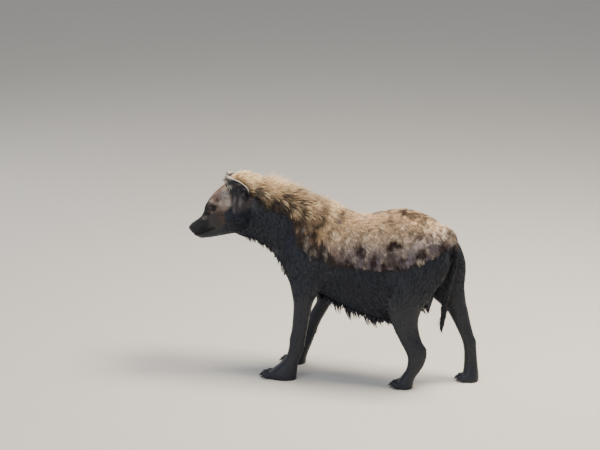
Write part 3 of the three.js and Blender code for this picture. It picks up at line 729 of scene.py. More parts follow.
coatColours = {
    # the wet muddy coat: dark from the mud, its blue cast painted shade
    "mudWithShadeTint": "#1B2130",
    "mudBrownWithShadeTint": "#21252E",
    "mane": "#E0B88B",
    # the mane's top and the back: colours lightened as a painted highlight from above
    "maneLitTop": "#F6E2BE",
    "back": "#D6B896",
    "flank": "#BDB1A8",
    # painted shade: grey for the lower flank, the side turned from the light
    "lowFlankShade": "#70676E",
    # cream: pale locks of hair, and a painted highlight on the top of the rump
    "creamHairAndHighlight": "#E2D3BB",
    "damp": "#352D2B",
    "spot": "#352928",
    "streak": "#7C5E4B",
    "face": "#8A7D78",
    "brow": "#BDB4AA",
    "cheek": "#5E4A40",
    "jowl": "#474140",
    "muzzle": "#2B2A2C",
    "socket": "#1F1B1A",
    "lip": "#1B191A",
    # the inside of the ear cup painted as shade, with its inner hair painted as seen in shade
    "earDark": "#3B3537",
    "earInside": "#77716F",
    # pale hair of the ear's rim, brightened as a painted highlight
    "earRim": "#E4DACA",
    "forehead": "#947E71",
}

# Spots of the flank and rump: y, z, half length, half height, how dark
spots = [
    (58, 666, 24, 26, 0.95),
    (196, 695, 33, 21, 0.95),
    (193, 636, 28, 32, 0.6),
    (166, 603, 13, 15, 0.95),
    (220, 598, 11, 15, 0.95),
    (250, 635, 19, 17, 0.85),
    (330, 655, 20, 30, 0.95),
    (319, 736, 23, 19, 0.75),
    (357, 726, 14, 13, 0.8),
    (421, 691, 16, 29, 0.8),
    (121, 619, 15, 30, 0.85),
    (26, 588, 12, 17, 0.95),
    (0, 604, 10, 17, 0.8),
    (-66, 614, 14, 21, 0.75),
    (-71, 766, 15, 19, 0.6),
    (-142, 758, 15, 17, 0.7),
    (-95, 714, 10, 30, 0.55),
    (83, 605, 10, 14, 0.6),
    (287, 684, 11, 15, 0.5),
    (-25, 648, 9, 17, 0.5),
    (50, 728, 11, 11, 0.35),
    (136, 729, 10, 13, 0.35),
    (265, 746, 12, 10, 0.4),
    (169, 766, 16, 12, 0.5),
    (429, 744, 13, 18, 0.6),
    (68, 776, 21, 9, 0.7),
    (128, 785, 24, 10, 0.7),
    (205, 796, 22, 11, 0.85),
    (266, 794, 24, 9, 0.75),
    (316, 785, 24, 9, 0.7),
    (381, 777, 20, 9, 0.75),
]
spotWarp = {"size": 19, "share": 0.62, "soft": (1.35, 0.75), "otherSide": (27, -6)}


def linearOf(hexColour):
    channels = [int(hexColour[i : i + 2], 16) / 255 for i in (1, 3, 5)]
    return np.array([c / 12.92 if c <= 0.04045 else ((c + 0.055) / 1.055) ** 2.4 for c in channels])


def flood(name, points):  # the named colour at each point
    return each(linearOf(coatColours[name]), points)


def paint(colour, name, share):  # lays a named colour over an array of colours
    return blend(colour, linearOf(coatColours[name]), np.clip(share, 0, 1)[:, None])


# the wet muddy coat, dark from the mud with a blue cast of painted shade
def mudPaint(points, mixed):
    return paint(flood("mudWithShadeTint", points), "mudBrownWithShadeTint", 0.5 + 0.5 * mixed)


def stretchedNoise(points, size, seed, stretch=(1.0, 1.0, 0.28)):  # blobs drawn out, most often downwards
    return blobNoise(points * stretch, size, seed)


def spotShare(points):
    far = points[:, 0] < 0
    y = points[:, 1] - spotWarp["otherSide"][0] * far
    z = points[:, 2] - spotWarp["otherSide"][1] * far
    warp = blobNoise(points, spotWarp["size"], 5) * spotWarp["share"]
    share = np.zeros(len(points))
    for spotY, spotZ, long, high, dark in spots:
        away = np.sqrt(((y - spotY) / long) ** 2 + ((z - spotZ) / high) ** 2) + warp
        share = np.maximum(share, dark * smoothStep(*spotWarp["soft"], away))
    broken = stretchedNoise(points, 9, 15, (1.0, 1.0, 0.35))
    return share * np.clip(1.1 + 0.6 * broken, 0.25, 1.1)


def drynessOf(points, labels):
    y, z = points[:, 1], points[:, 2]
    ragged = wading["ragged"] * (blobNoise(points, 22, 1) + 0.6 * blobNoise(points, 8, 2))
    above = z + ragged - np.interp(y, wading["y"], wading["z"])
    soft = np.interp(y, wading["soft"]["y"], wading["soft"]["reach"])
    locks = stretchedNoise(points, 12, 9, (1.0, 1.0, 0.25)) * (soft > 12)
    dry = smoothStep(-soft, soft, above + 1.2 * soft * locks)
    local = toHead(points)
    back = local[:, 1] - np.interp(local[:, 2], wading["faceUp"], wading["faceBack"])
    dryFace = smoothStep(10, -10, back + 0.6 * ragged) * smoothStep(*wading["chin"], local[:, 2])
    dry = np.where(isPart(labels, "head") & (local[:, 1] < 235), dryFace, dry)
    # the skin inside the ear cups is made wet so it takes the dark mud colour, as painted shade
    dry = dry * (1 - inEarCup(points))
    return np.where(isPart(labels, "tail"), smoothStep(655, 680, z + ragged), dry), above


# Places and angles here are those of the nearest part of the trunk, also on the shoulders and thighs
def coatPaint(points, labels, places, angles):
    dry, above = drynessOf(points, labels)
    y = points[:, 1]
    around = np.degrees(np.abs(angles))
    onHead, onTail = isPart(labels, "head"), isPart(labels, "tail")
    trunkLike = ~isPart(labels, "tail", "teat")
    broad = blobNoise(points, 90, 3)
    fine = blobNoise(points, 14, 4)
    streak = stretchedNoise(points, 11, 6)
    # back, flank and mane, with painted light: the top of the back and of the mane painted lighter where
    # light falls from above
    top = smoothStep(70, 22, around) * trunkLike
    colour = paint(flood("flank", points), "back", top)
    # painted shade: the lower flank behind the shoulder painted greyer near the wading line
    colour = paint(colour, "lowFlankShade", 0.95 * smoothStep(145, 40, above) * smoothStep(-270, -170, y))
    mane = smoothStep(7.0, 9.4, places) * smoothStep(84, 46, around) * trunkLike
    colour = paint(colour, "mane", mane)
    # painted highlight: the mane lighter along the top of the body
    colour = paint(colour, "maneLitTop", mane * top * (0.55 + 0.4 * fine))
    colour = paint(colour, "streak", mane * smoothStep(0.25, 0.7, streak) * 0.42)
    withers = bell(y, -170, 16) * trunkLike
    colour = paint(colour, "streak", 0.55 * withers * smoothStep(100, 40, around))
    # darker and paler locks, and the spots
    mottle = smoothStep(0.1, 0.8, stretchedNoise(points, 15, 27, (0.6, 0.6, 1.0)))
    colour = paint(colour, "streak", 0.42 * mottle * smoothStep(86, 50, around) * (1 - mane))
    # painted highlight: the top of the rump painted cream
    rump = smoothStep(3.4, 2.2, places) * smoothStep(62, 30, around) * smoothStep(-0.4, 0.5, fine)
    colour = paint(colour, "creamHairAndHighlight", 0.75 * rump * trunkLike)
    paleLocks = smoothStep(0.35, 0.75, stretchedNoise(points, 13, 8, (1.0, 1.0, 0.3)))
    colour = paint(colour, "creamHairAndHighlight", 0.55 * paleLocks * smoothStep(-190, -130, y))
    colour = paint(colour, "spot", spotShare(points) * (y > -170))
    # damp hair over the wading line, in streaks
    depth = np.interp(y, wading["dampDepth"]["y"], wading["dampDepth"]["depth"])
    ragged = 0.8 * streak + 0.35 * broad
    damp = smoothStep(-0.3, 0.45, 0.95 - 1.4 * above / depth + 0.8 * ragged) * ~onHead * ~onTail
    lowNeck = smoothStep(-230, -330, y) * smoothStep(44, 66, around) * trunkLike
    damp = np.maximum(damp, lowNeck * smoothStep(-0.5, 0.5, streak) * ~onHead)
    colour = paint(colour, "damp", 0.93 * damp)
    hung = smoothStep(0.3, 0.6, stretchedNoise(points, 10, 23, (1.0, 1.0, 0.16)))
    overShoulder = smoothStep(-230, -180, y) * smoothStep(-20, -70, y) * ~onHead
    colour = paint(colour, "flank", 0.5 * hung * overShoulder)
    colour = paint(colour, "damp", 0.8 * onTail)
    face = onHead * smoothStep(258, 218, toHead(points)[:, 1])
    colour = blend(colour, facePaint(points), face[:, None])
    colour = blend(mudPaint(points, broad), colour, dry[:, None])
    # painted shade inside the ear cups, with streaks of inner hair painted as seen in shade
    cup = inEarCup(points)
    colour = paint(colour, "earDark", 0.75 * cup)
    colour = paint(colour, "earInside", 0.8 * cup * smoothStep(-0.1, 0.6, streak))
    return colour * (1 + 0.09 * fine + 0.06 * broad)[:, None], 1 - dry, above


# Patches of the face, on both sides in the head frame: colour, strength, how far soft noise and fine grain
# change it, place, radii. The upper ones are laid on before the dark of the muzzle, the others after it.
facePatches = {
    "upper": [
        ("cheek", 0.6, 0, 0, (70, 166, 14), (50, 14, 44)),
        ("face", 0.8, 0, 0, (74, 196, 80), (50, 34, 60)),
        ("brow", 0.85, 0.3, 0.35, (74, 210, 92), (50, 19, 52)),
        # pale brow over the eye, brightened as a painted highlight on the ridge
        ("brow", 0.9, 0, 0, (40, 128, 84), (34, 17, 7)),
        ("brow", 0.6, 0, 0, (66, 178, 66), (50, 10, 14)),
    ],
    "lower": [
        # painted sheen: a pale grey wet highlight on the side of the muzzle
        ("face", 0.42, 0.3, 0.2, (44, 84, 20), (40, 19, 10)),
        ("socket", 1, 0, 0, (50, 134, 54), (60, 28, 17)),
        ("cheek", 0.9, 0, 0, (62, 168, 84), (40, 8, 11)),
        ("socket", 0.8, 0, 0, (46, 106, 34), (30, 14, 7)),
    ],
}


def facePaint(points):
    local = toHead(points)
    back, up = local[:, 1], local[:, 2]
    fine = blobNoise(points, 9, 7)
    grain = stretchedNoise(local, 4.5, 19, (1.0, 1.0, 0.3))

    def patched(colour, patches):
        for name, strength, soft, grained, place, radii in patches:
            away = np.sqrt((awayFrom(local, place, radii) ** 2).sum(1))
            share = smoothStep(1.35, 0.55, away + 0.15 * fine)
            colour = paint(colour, name, (strength + soft * fine + grained * grain) * share)
        return colour

    colour = flood("forehead", points)
    colour = paint(colour, "cheek", 0.45 * smoothStep(-0.1, 0.7, blobNoise(points, 17, 17)))
    colour = paint(colour, "jowl", smoothStep(50, 26, up + 6 * fine) * smoothStep(60, 90, back))
    colour = patched(colour, facePatches["upper"])
    colour = paint(colour, "muzzle", smoothStep(116, 84, back - 0.35 * up))
    colour = patched(colour, facePatches["lower"])
    line = np.interp(back, mouth["back"], mouth["up"])
    inMouth = smoothStep(mouth["corner"] + 14, mouth["corner"] - 4, back)
    colour = paint(colour, "lip", bell(up, line, 7) * inMouth)
    return colour * (1 + 0.13 * grain)[:, None]


# The lie and length of the coat. Angles round the trunk are degrees from the back line.
hair = {
    "lieRounds": 14,  # how often the planned lie, and the other measures, are smoothed over the skin
    "rounds": 5,
    "fall": {"around": (0, 12, 38, 70, 112, 145, 180), "degrees": (0, 8, 40, 60, 58, 24, 0)},
    "mane": {
        "place": (6, 8, 9, 10, 12, 14, 15.2, 16.2, 17),
        "length": (34, 48, 72, 100, 124, 120, 90, 44, 16),
    },
    "maneLift": {"place": (6, 8, 9.5, 11, 15, 17), "degrees": (24, 38, 58, 70, 74, 46)},
    "backLift": {"place": (3, 4.6, 6, 8), "degrees": (16, 27, 32, 26)},
    "crestWidth": (46, 26),
    "flank": 46,
    "neck": 44,
    "wetTrunk": 25,
    "wetNeck": 22,
    "wetLift": 7,
    "dryLift": 16,
    "limbFall": 56,
    "edgeShort": 0.35,
    "leg": 13,
    "paw": 8,
    "teat": 5,
    "earCup": 6,
    "tail": {"height": (260, 350, 480, 620, 720), "length": (40, 62, 62, 48, 34)},
    "tailLift": 7,
    "face": {"back": (0, 90, 180, 240, 300), "length": (4, 6, 10, 14, 20)},
    "faceLift": {"back": (0, 150, 300), "degrees": (9, 13, 20)},
}


def planned(values, term):  # reads a planned measure of the coat where the values say
    plan, measure = hair[term].values()
    return np.interp(values, plan, measure)


def coatLie(labels, angles, along, rounding, dry):
    around = np.degrees(np.abs(angles))
    onHead, limp = isPart(labels, "head"), isPart(labels, "tail", "teat")
    onLeg = isPart(labels, *legNames)
    down = rounding * np.sign(angles)[:, None]
    fall = np.radians(planned(around, "fall"))[:, None]
    lie = -along * np.cos(fall) + down * np.sin(fall)
    faceFall = np.radians(30 * bell(around, 90, 40))[:, None]
    lie = np.where(onHead[:, None], along * np.cos(faceFall) + down * np.sin(faceFall), lie)
    legLie = along + np.array((0, 0.22, 0)) + np.array((0, 0.25, 0)) * dry[:, None]
    lie = np.where(onLeg[:, None], legLie, lie)
    return np.where(limp[:, None], along, lie)


def coatLength(points, labels, dry, above, places, angles):  # length, lift, and where the mane's crest is
    around = np.degrees(np.abs(angles))
    back, z = toHead(points)[:, 1], points[:, 2]
    onHead, onTail = isPart(labels, "head"), isPart(labels, "tail")
    crest = smoothStep(*hair["crestWidth"], around) * smoothStep(6.2, 8.4, places)
    poll = onHead * smoothStep(212, 246, back)
    crest = crest * np.where(onHead, poll, isPart(labels, "trunk")) * (1 - inEarCup(points))
    neck = smoothStep(8.6, 10.2, places)
    dryLength = blend(hair["flank"], hair["neck"], neck)
    dryLength = dryLength * (1 - hair["edgeShort"] * smoothStep(70, 0, above))
    wetLength = blend(hair["wetTrunk"], hair["wetNeck"], neck)
    legLength = blend(hair["paw"], hair["leg"], smoothStep(60, 150, z))
    legLength = blend(legLength, hair["wetTrunk"], smoothStep(330, 520, z))
    wetLength = np.where(isPart(labels, *legNames), legLength, wetLength)
    length = blend(wetLength, dryLength, dry)
    dryLift = blend(hair["dryLift"], planned(places, "backLift"), smoothStep(56, 24, around))
    lift = blend(hair["wetLift"], dryLift, dry)
    length = np.where(onHead, planned(back, "face"), length)
    lift = np.where(onHead, planned(back, "faceLift"), lift)
    length = np.where(inEarCup(points) > 0.5, hair["earCup"], length)
    length = blend(length, planned(places, "mane"), crest * dry)
    lift = blend(lift, planned(places, "maneLift"), crest * dry)
    length = np.where(onTail, planned(z, "tail"), length)
    lift = np.where(onTail, hair["tailLift"], lift)
    return np.where(isPart(labels, "teat"), hair["teat"], length), lift, crest


class SkinMap:  # the finished skin with what the coat needs at each of its points
    def __init__(self, mesh):
        mesh.calc_loop_triangles()
        self.points = pointsOf(mesh)
        self.normals = normalsOf(mesh)
        self.edges = readArray(mesh.edges, "vertices", 2, np.int32)
        self.triangles = readArray(mesh.loop_triangles, "vertices", 3, np.int32)
        self.loops = readArray(mesh.loop_triangles, "loops", 3, np.int32)
        a, b, c = (self.points[self.triangles[:, k]] for k in range(3))
        self.areas = np.linalg.norm(np.cross(b - a, c - a), axis=1) / 2

    def smoothed(self, values, rounds):
        flat = values.reshape(len(values), -1).copy()
        first, second = self.edges.T
        size = len(flat)
        count = np.bincount(first, minlength=size) + np.bincount(second, minlength=size)
        for _ in range(rounds):
            for k in range(flat.shape[1]):
                column = flat[:, k]
                total = np.bincount(first, column[second], size) + np.bincount(second, column[first], size)
                flat[:, k] = 0.4 * column + 0.6 * total / np.maximum(count, 1)
        return flat.reshape(values.shape)


def setAttributes(mesh, colour, wet):
    rgba = np.ones((len(colour), 4), np.float32)
    rgba[:, :3] = np.clip(colour, 0, 1)
    mesh.color_attributes.new("coatColour", "FLOAT_COLOR", "POINT").data.foreach_set("color", rgba.ravel())
    setShare(mesh, "wet", np.clip(wet, 0, 1))


def unwrapSkin(piece):  # an unwrap by the skin's own shape, which the tufts take their places from
    bpy.context.view_layer.objects.active = piece
    piece.select_set(True)
    piece.data.uv_layers.new(name="OFBake")
    bpy.ops.object.mode_set(mode="EDIT")
    bpy.ops.mesh.select_all(action="SELECT")
    bpy.ops.uv.smart_project(angle_limit=math.radians(66), island_margin=0.002)
    bpy.ops.object.mode_set(mode="OBJECT")
    piece.select_set(False)
    return readArray(piece.data.uv_layers["OFBake"].data, "uv", 2)


# The fringe that hangs from the belly's keel and, shorter, from the throat
fringe = {"around": 152, "from": 3.3, "to": 15.6, "length": 66, "lift": 68, "droop": 1.1}
fringe |= {"varied": (0.3, 1.05), "throat": 0.45, "throatFrom": -150}

# The coat's pieces: tufts, rings along a tuft, half width, how strongly tufts gather into locks,
# tufts to a lock, and the slot of its finish
coatTerms = ("count", "rings", "width", "gather", "perLock", "slot")
coat = {
    "coatMane": (12000, 3, 1.7, 0.55, 9, "mane_hair"),
    "coatNeck": (8700, 3, 1.8, 0.6, 10, "mane_hair"),
    "coatBack": (9000, 3, 1.8, 0.6, 10, "dry_coat"),
    "coatFlankLeft": (10800, 3, 1.9, 0.65, 11, "dry_coat"),
    "coatFlankRight": (10800, 3, 1.9, 0.65, 11, "dry_coat"),
    "coatBellyLeft": (7800, 2, 1.4, 0.45, 5, "wet_coat"),
    "coatBellyRight": (7800, 2, 1.4, 0.45, 5, "wet_coat"),
    "coatThroat": (7800, 2, 1.4, 0.45, 5, "wet_coat"),
    "coatFringe": (3200, 3, 1.8, 0.92, 12, "wet_coat"),
    "coatForelegs": (9000, 2, 1.3, 0.4, 5, "wet_coat"),
    "coatHindlegs": (10000, 2, 1.3, 0.4, 5, "wet_coat"),
    "coatHead": (12500, 2, 1.0, 0.3, 6, "dry_coat"),
    "coatEarLeft": (2200, 2, 0.9, 0.3, 5, "wet_coat"),
    "coatEarRight": (2200, 2, 0.9, 0.3, 5, "wet_coat"),
    "coatTail": (3400, 3, 1.6, 0.7, 9, "wet_coat"),
}

# One tuft. How far tufts vary: turn in degrees, then shares of their own measure
tuft = {"sink": 0.7, "thick": 0.5, "droop": 0.35, "taper": {2: (1, 0.7), 3: (1, 0.82, 0.5)}}
tuft |= {"bow": 0.62, "patch": 0.003, "rootShade": 0.72, "tipShade": 1.12}
varied = {"turn": 11, "length": (0.72, 1.12), "lift": (0.7, 1.3), "gather": (0.7, 1.15)}
varied |= {"width": (0.75, 1.2), "bright": 0.16, "patchy": 0.12, "lock": 0.12}
hairSeed = 11


def tuftPaths(root, normal, lie, length, lift, rings, droop):
    shares = np.linspace(0, 1, rings + 1)
    path = [root - normal * tuft["sink"]]
    for k in range(rings):
        middle = (shares[k] + shares[k + 1]) / 2
        rise = (lift * (1 - tuft["bow"] * middle))[:, None]
        heading = lie * np.cos(rise) + normal * np.sin(rise)
        heading = unit(heading + np.array((0, 0, -1)) * (droop * middle)[:, None])
        step = (shares[k + 1] - shares[k]) * length + (tuft["sink"] if k == 0 else 0)
        path.append(path[-1] + heading * step[:, None])
    return np.stack(path, 1), shares


def tuftMesh(name, path, normal, width, colour, wet, uvRoot):
    rings = path.shape[1] - 1
    count = len(path)
    ahead = unit(np.diff(path, axis=1))
    ahead = np.concatenate((ahead, ahead[:, -1:]), 1)
    across = unit(np.cross(ahead, normal[:, None]))
    face = np.cross(across, ahead)
    taper = tuft["taper"][rings]
    corners = []
    for k in range(rings):
        half = (width * taper[k])[:, None]
        deep = half * tuft["thick"]
        corners += [
            path[:, k] + across[:, k] * half - face[:, k] * deep,
            path[:, k] + face[:, k] * deep,
            path[:, k] - across[:, k] * half - face[:, k] * deep,
        ]
    corners.append(path[:, -1])
    each = len(corners)
    points = np.stack(corners, 1).reshape(-1, 3)
    faces = [(0, 1, 2)]
    for k in range(rings - 1):
        for c in range(3):
            a, b = k * 3 + c, k * 3 + (c + 1) % 3
            faces += [(a, b + 3, b), (a, a + 3, b + 3)]
    top = (rings - 1) * 3
    faces += [(top + c, each - 1, top + (c + 1) % 3) for c in range(3)]
    faces = np.array(faces)
    order = (faces[None] + (np.arange(count) * each)[:, None, None]).reshape(-1)
    mesh = bpy.data.meshes.new(name)
    mesh.vertices.add(len(points))
    setPoints(mesh, points)
    mesh.loops.add(len(order))
    mesh.loops.foreach_set("vertex_index", order.astype(np.int32))
    mesh.polygons.add(len(order) // 3)
    mesh.polygons.foreach_set("loop_start", np.arange(0, len(order), 3, dtype=np.int32))
    mesh.update(calc_edges=True)
    step = np.append(np.repeat(np.arange(rings), 3), rings) / rings
    shade = blend(tuft["rootShade"], tuft["tipShade"], step)
    colours = (colour[:, None] * shade[None, :, None]).reshape(-1, 3)
    setAttributes(mesh, colours, np.repeat(wet, each))
    corner = np.append(np.tile((-0.5, 0, 0.5), rings), 0)
    patch = np.stack((corner, step - 0.5), 1) * tuft["patch"]
    uv = np.clip(uvRoot[:, None] + patch[None], 0, 1).reshape(-1, 2)[order]
    mesh.uv_layers.new(name="OFBake").data.foreach_set("uv", uv.astype(np.float32).ravel())
    return mesh


def growCoat(name, skinMap, weights, seed):
    spec = dict(zip(coatTerms, coat[name]))
    draw = np.random.default_rng(seed)
    share = skinMap.areas * weights
    pick = np.sort(draw.choice(len(share), spec["count"], p=share / share.sum()))
    draws = np.sort(draw.random((len(pick), 2)), axis=1)
    mix = np.stack((draws[:, 0], draws[:, 1] - draws[:, 0], 1 - draws[:, 1]), 1)
    corners = skinMap.triangles[pick]

    def at(values):
        return np.einsum("nk,nk...->n...", mix, values[corners])

    root = at(skinMap.points)
    normal = unit(at(skinMap.normals))
    lie = at(skinMap.lie)
    lie = unit(lie - normal * (lie * normal).sum(1, keepdims=True))
    turned = np.radians(draw.normal(0, varied["turn"], len(pick)))[:, None]
    lie = lie * np.cos(turned) + np.cross(normal, lie) * np.sin(turned)
    length = at(skinMap.length) * draw.uniform(*varied["length"], len(pick))
    lift = np.radians(at(skinMap.lift) * draw.uniform(*varied["lift"], len(pick)))
    droop = tuft["droop"] * (length / 40) * np.cos(lift)
    if name == "coatFringe":
        length = fringe["length"] * draw.uniform(*fringe["varied"], len(pick)) ** 1.6
        length = length * np.where(root[:, 1] < fringe["throatFrom"], fringe["throat"], 1)
        lift = np.radians(fringe["lift"] * draw.uniform(0.8, 1.2, len(pick)))
        droop = droop + fringe["droop"]
    path, shares = tuftPaths(root, normal, lie, length, lift, spec["rings"], droop)
    guides = draw.choice(len(pick), max(len(pick) // spec["perLock"], 1), replace=False)
    chief = guides[nearest(root, root[guides])]
    gather = spec["gather"] * draw.uniform(*varied["gather"], len(pick))[:, None] * shares[None] ** 1.4
    path = path + (path[chief] - path) * gather[..., None]
    colour, wet = at(skinMap.colour), at(skinMap.wet)
    bright = 1 + varied["bright"] * draw.normal(0, 1, len(pick))
    bright = bright + varied["patchy"] * blobNoise(root, 9, seed)
    lockShade = (1 + varied["lock"] * draw.normal(0, 1, len(pick)))[chief]
    colour = colour * np.clip(bright * lockShade, 0.45, 1.6)[:, None]
    width = spec["width"] * draw.uniform(*varied["width"], len(pick)) * np.clip(length / 16, 0.55, 1.25)
    uvRoot = np.einsum("nk,nk...->n...", mix, skinMap.uv[skinMap.loops[pick]])
    mesh = tuftMesh(name, path, normal, width, colour, wet, uvRoot)
    finishPiece(linkObject(name, mesh), hairMaterial(spec["slot"]), spec["slot"])
    print(name, len(mesh.polygons), "triangles")


def addNode(tree, kind, settings=None, links=None):
    node = tree.nodes.new(kind)
    for key, value in (settings or {}).items():
        if isinstance(key, str) and hasattr(node, key):
            setattr(node, key, value)
        else:
            node.inputs[key].default_value = value
    for key, source in (links or {}).items():
        tree.links.new(source, node.inputs[key])
    return node


def newMaterial(name):
    material = bpy.data.materials.new(name)
    material.use_nodes = True
    tree = material.node_tree
    tree.nodes.clear()
    shader = addNode(tree, "ShaderNodeBsdfPrincipled")
    addNode(tree, "ShaderNodeOutputMaterial", links={"Surface": shader.outputs["BSDF"]})
    return material, tree, shader


def grainOf(tree, scale, detail, stretch=None):  # noise by the place on the object, drawn out by a stretch
    place = addNode(tree, "ShaderNodeTexCoord").outputs["Object"]
    if stretch:
        place = addNode(tree, "ShaderNodeMapping", {"Scale": stretch}, {"Vector": place}).outputs["Vector"]
    size = {"Scale": scale, "Detail": detail}
    return addNode(tree, "ShaderNodeTexNoise", size, {"Vector": place}).outputs["Fac"]


def readShare(tree, name):
    return addNode(tree, "ShaderNodeAttribute", {"attribute_name": name}).outputs["Fac"]


def ranged(tree, value, low, high):
    reach = {"To Min": low, "To Max": high}
    return addNode(tree, "ShaderNodeMapRange", reach, {"Value": value}).outputs[0]


def raiseGrain(tree, shader, height, strength, distance):
    relief = {"Strength": strength, "Distance": distance}
    bump = addNode(tree, "ShaderNodeBump", relief, {"Height": height})
    tree.links.new(bump.outputs["Normal"], shader.inputs["Normal"])


def rampOf(tree, shader, share, *tones):
    ramp = addNode(tree, "ShaderNodeValToRGB", links={"Fac": share})
    for stop, tone in zip(ramp.color_ramp.elements, tones):
        stop.color = (*tone, 1)
    tree.links.new(ramp.outputs["Color"], shader.inputs["Base Color"])
    return ramp.color_ramp.elements


# The coat's colour and wetness come from the mesh. Grain shades it, and it is glossier where it is wet.
def coatNodes(tree, shader, grain, shades, rough, specular):
    colour = addNode(tree, "ShaderNodeAttribute", {"attribute_name": "coatColour"}).outputs["Color"]
    shade = ranged(tree, grain, *shades)
    tinted = addNode(tree, "ShaderNodeVectorMath", {"operation": "SCALE"}, {0: colour, "Scale": shade})
    tree.links.new(tinted.outputs["Vector"], shader.inputs["Base Color"])
    tree.links.new(ranged(tree, readShare(tree, "wet"), *rough), shader.inputs["Roughness"])
    shader.inputs["Specular IOR Level"].default_value = specular


# Each coat slot's material, its roughness dry and wet, and its specular level
finishes = {
    "wet_coat": ("muddyHair", (0.7, 0.42), 0.4),
    "dry_coat": ("guardHair", (0.82, 0.46), 0.25),
    "mane_hair": ("maneHair", (0.78, 0.46), 0.3),
}


# Guard hair, keratin with a dull cuticle when dry. Mud and water darken it and give it a soft sheen.
@cache
def hairMaterial(slot):
    name, rough, specular = finishes[slot]
    material, tree, shader = newMaterial(name)
    coatNodes(tree, shader, grainOf(tree, 90.0, 3.0), (0.86, 1.14), rough, specular)
    return material


# Hide with its flat underfur. Fine lines run down with the hair; mud leaves it smoother and darker.
@cache
def hideMaterial():
    material, tree, shader = newMaterial("hideAndUnderfur")
    lines = grainOf(tree, 1.0, 4.0, (260, 260, 60))
    coatNodes(tree, shader, lines, (0.62, 1.1), (0.85, 0.46), 0.35)
    raiseGrain(tree, shader, lines, 0.5, 0.002)
    return material


# The eyeball: dark brown iris, round pupil and a clear bulging cornea over them.
eyeball = {"segments": (40, 30), "pupil": 20, "iris": 46, "cornea": 0.9}
eyeball |= {"white": "#3A2A22", "irisColour": "#2E1A0E"}
lids = {"halfLength": 10.6, "upper": 6.4, "lower": 5.4, "tilt": -12, "points": 36}
lids |= {"rim": 1.3, "reach": 19.5, "bulge": 1.6, "gap": 0.35, "near": 34, "sunk": 1.2}
lids |= {"crease": 1.1, "creasePlace": 0.42, "creaseWidth": 0.1, "room": (3.0, 17.0)}


def eyeAxes(side):  # the way the eye looks, towards its front corner, and up
    look = eyeLook(side)
    front = headTurn @ np.array((0, -1.0, 0))
    front = unit(front - look * (front @ look))
    up = np.cross(front, look) * side
    tilt = math.radians(lids["tilt"])
    return look, front * math.cos(tilt) + up * math.sin(tilt), up * math.cos(tilt) - front * math.sin(tilt)


def aroundEye(points, side):  # distance along and away from the way an eye looks
    away = points - eyeCentre(side)
    look = eyeLook(side)
    ahead = away @ look
    return ahead, np.linalg.norm(away - ahead[:, None] * look, axis=1)


def makeEye(side, name):
    bm = bmesh.new()
    spin = Vector(eyeLook(side)).to_track_quat("Z", "Y").to_matrix().to_4x4()
    place = Matrix.Translation(toRow(eyeCentre(side))) @ spin @ Matrix.Scale(eyes["radius"] / 1000, 4)
    around, down = eyeball["segments"]
    bmesh.ops.create_uvsphere(bm, u_segments=around, v_segments=down, radius=1, matrix=place)
    piece = linkObject(name, settledMesh(name, bm))
    points = pointsOf(piece.data)
    ahead, away = aroundEye(points, side)
    turned = np.degrees(np.arctan2(away, ahead))
    swell = eyeball["cornea"] * smoothStep(eyeball["iris"] + 8, eyeball["iris"] - 26, turned)
    setPoints(piece.data, points + eyeLook(side) * swell[:, None])
    setShare(piece.data, "fromLook", turned)
    finishPiece(piece, eyeMaterial(), "eye", "eye_left" if side > 0 else "eye_right")


# Wet cornea over iris and pupil: the sharpest gloss on the animal.
@cache
def eyeMaterial():
    material, tree, shader = newMaterial("corneaOverIris")
    turned = readShare(tree, "fromLook")
    share = addNode(tree, "ShaderNodeMath", {"operation": "DIVIDE", 1: 90.0}, {0: turned}).outputs[0]
    stops = rampOf(tree, shader, share)
    iris = linearOf(eyeball["irisColour"])
    tones = (
        (eyeball["pupil"] / 90 - 0.02, (0.001, 0.001, 0.001)),
        (eyeball["pupil"] / 90 + 0.02, iris * 1.5),
        (eyeball["iris"] / 90 - 0.05, iris),
        (eyeball["iris"] / 90 + 0.03, iris * 0.3),
        (eyeball["iris"] / 90 + 0.12, linearOf(eyeball["white"])),
    )
    for number, (at, tone) in enumerate(tones):
        stop = stops[number] if number < 2 else stops.new(at)
        stop.position = at
        stop.color = (*tone, 1)
    gloss = {"Roughness": 0.06, "IOR": 1.376, "Coat Weight": 0.6, "Coat Roughness": 0.03}
    for key, value in gloss.items():
        shader.inputs[key].default_value = value
    return material


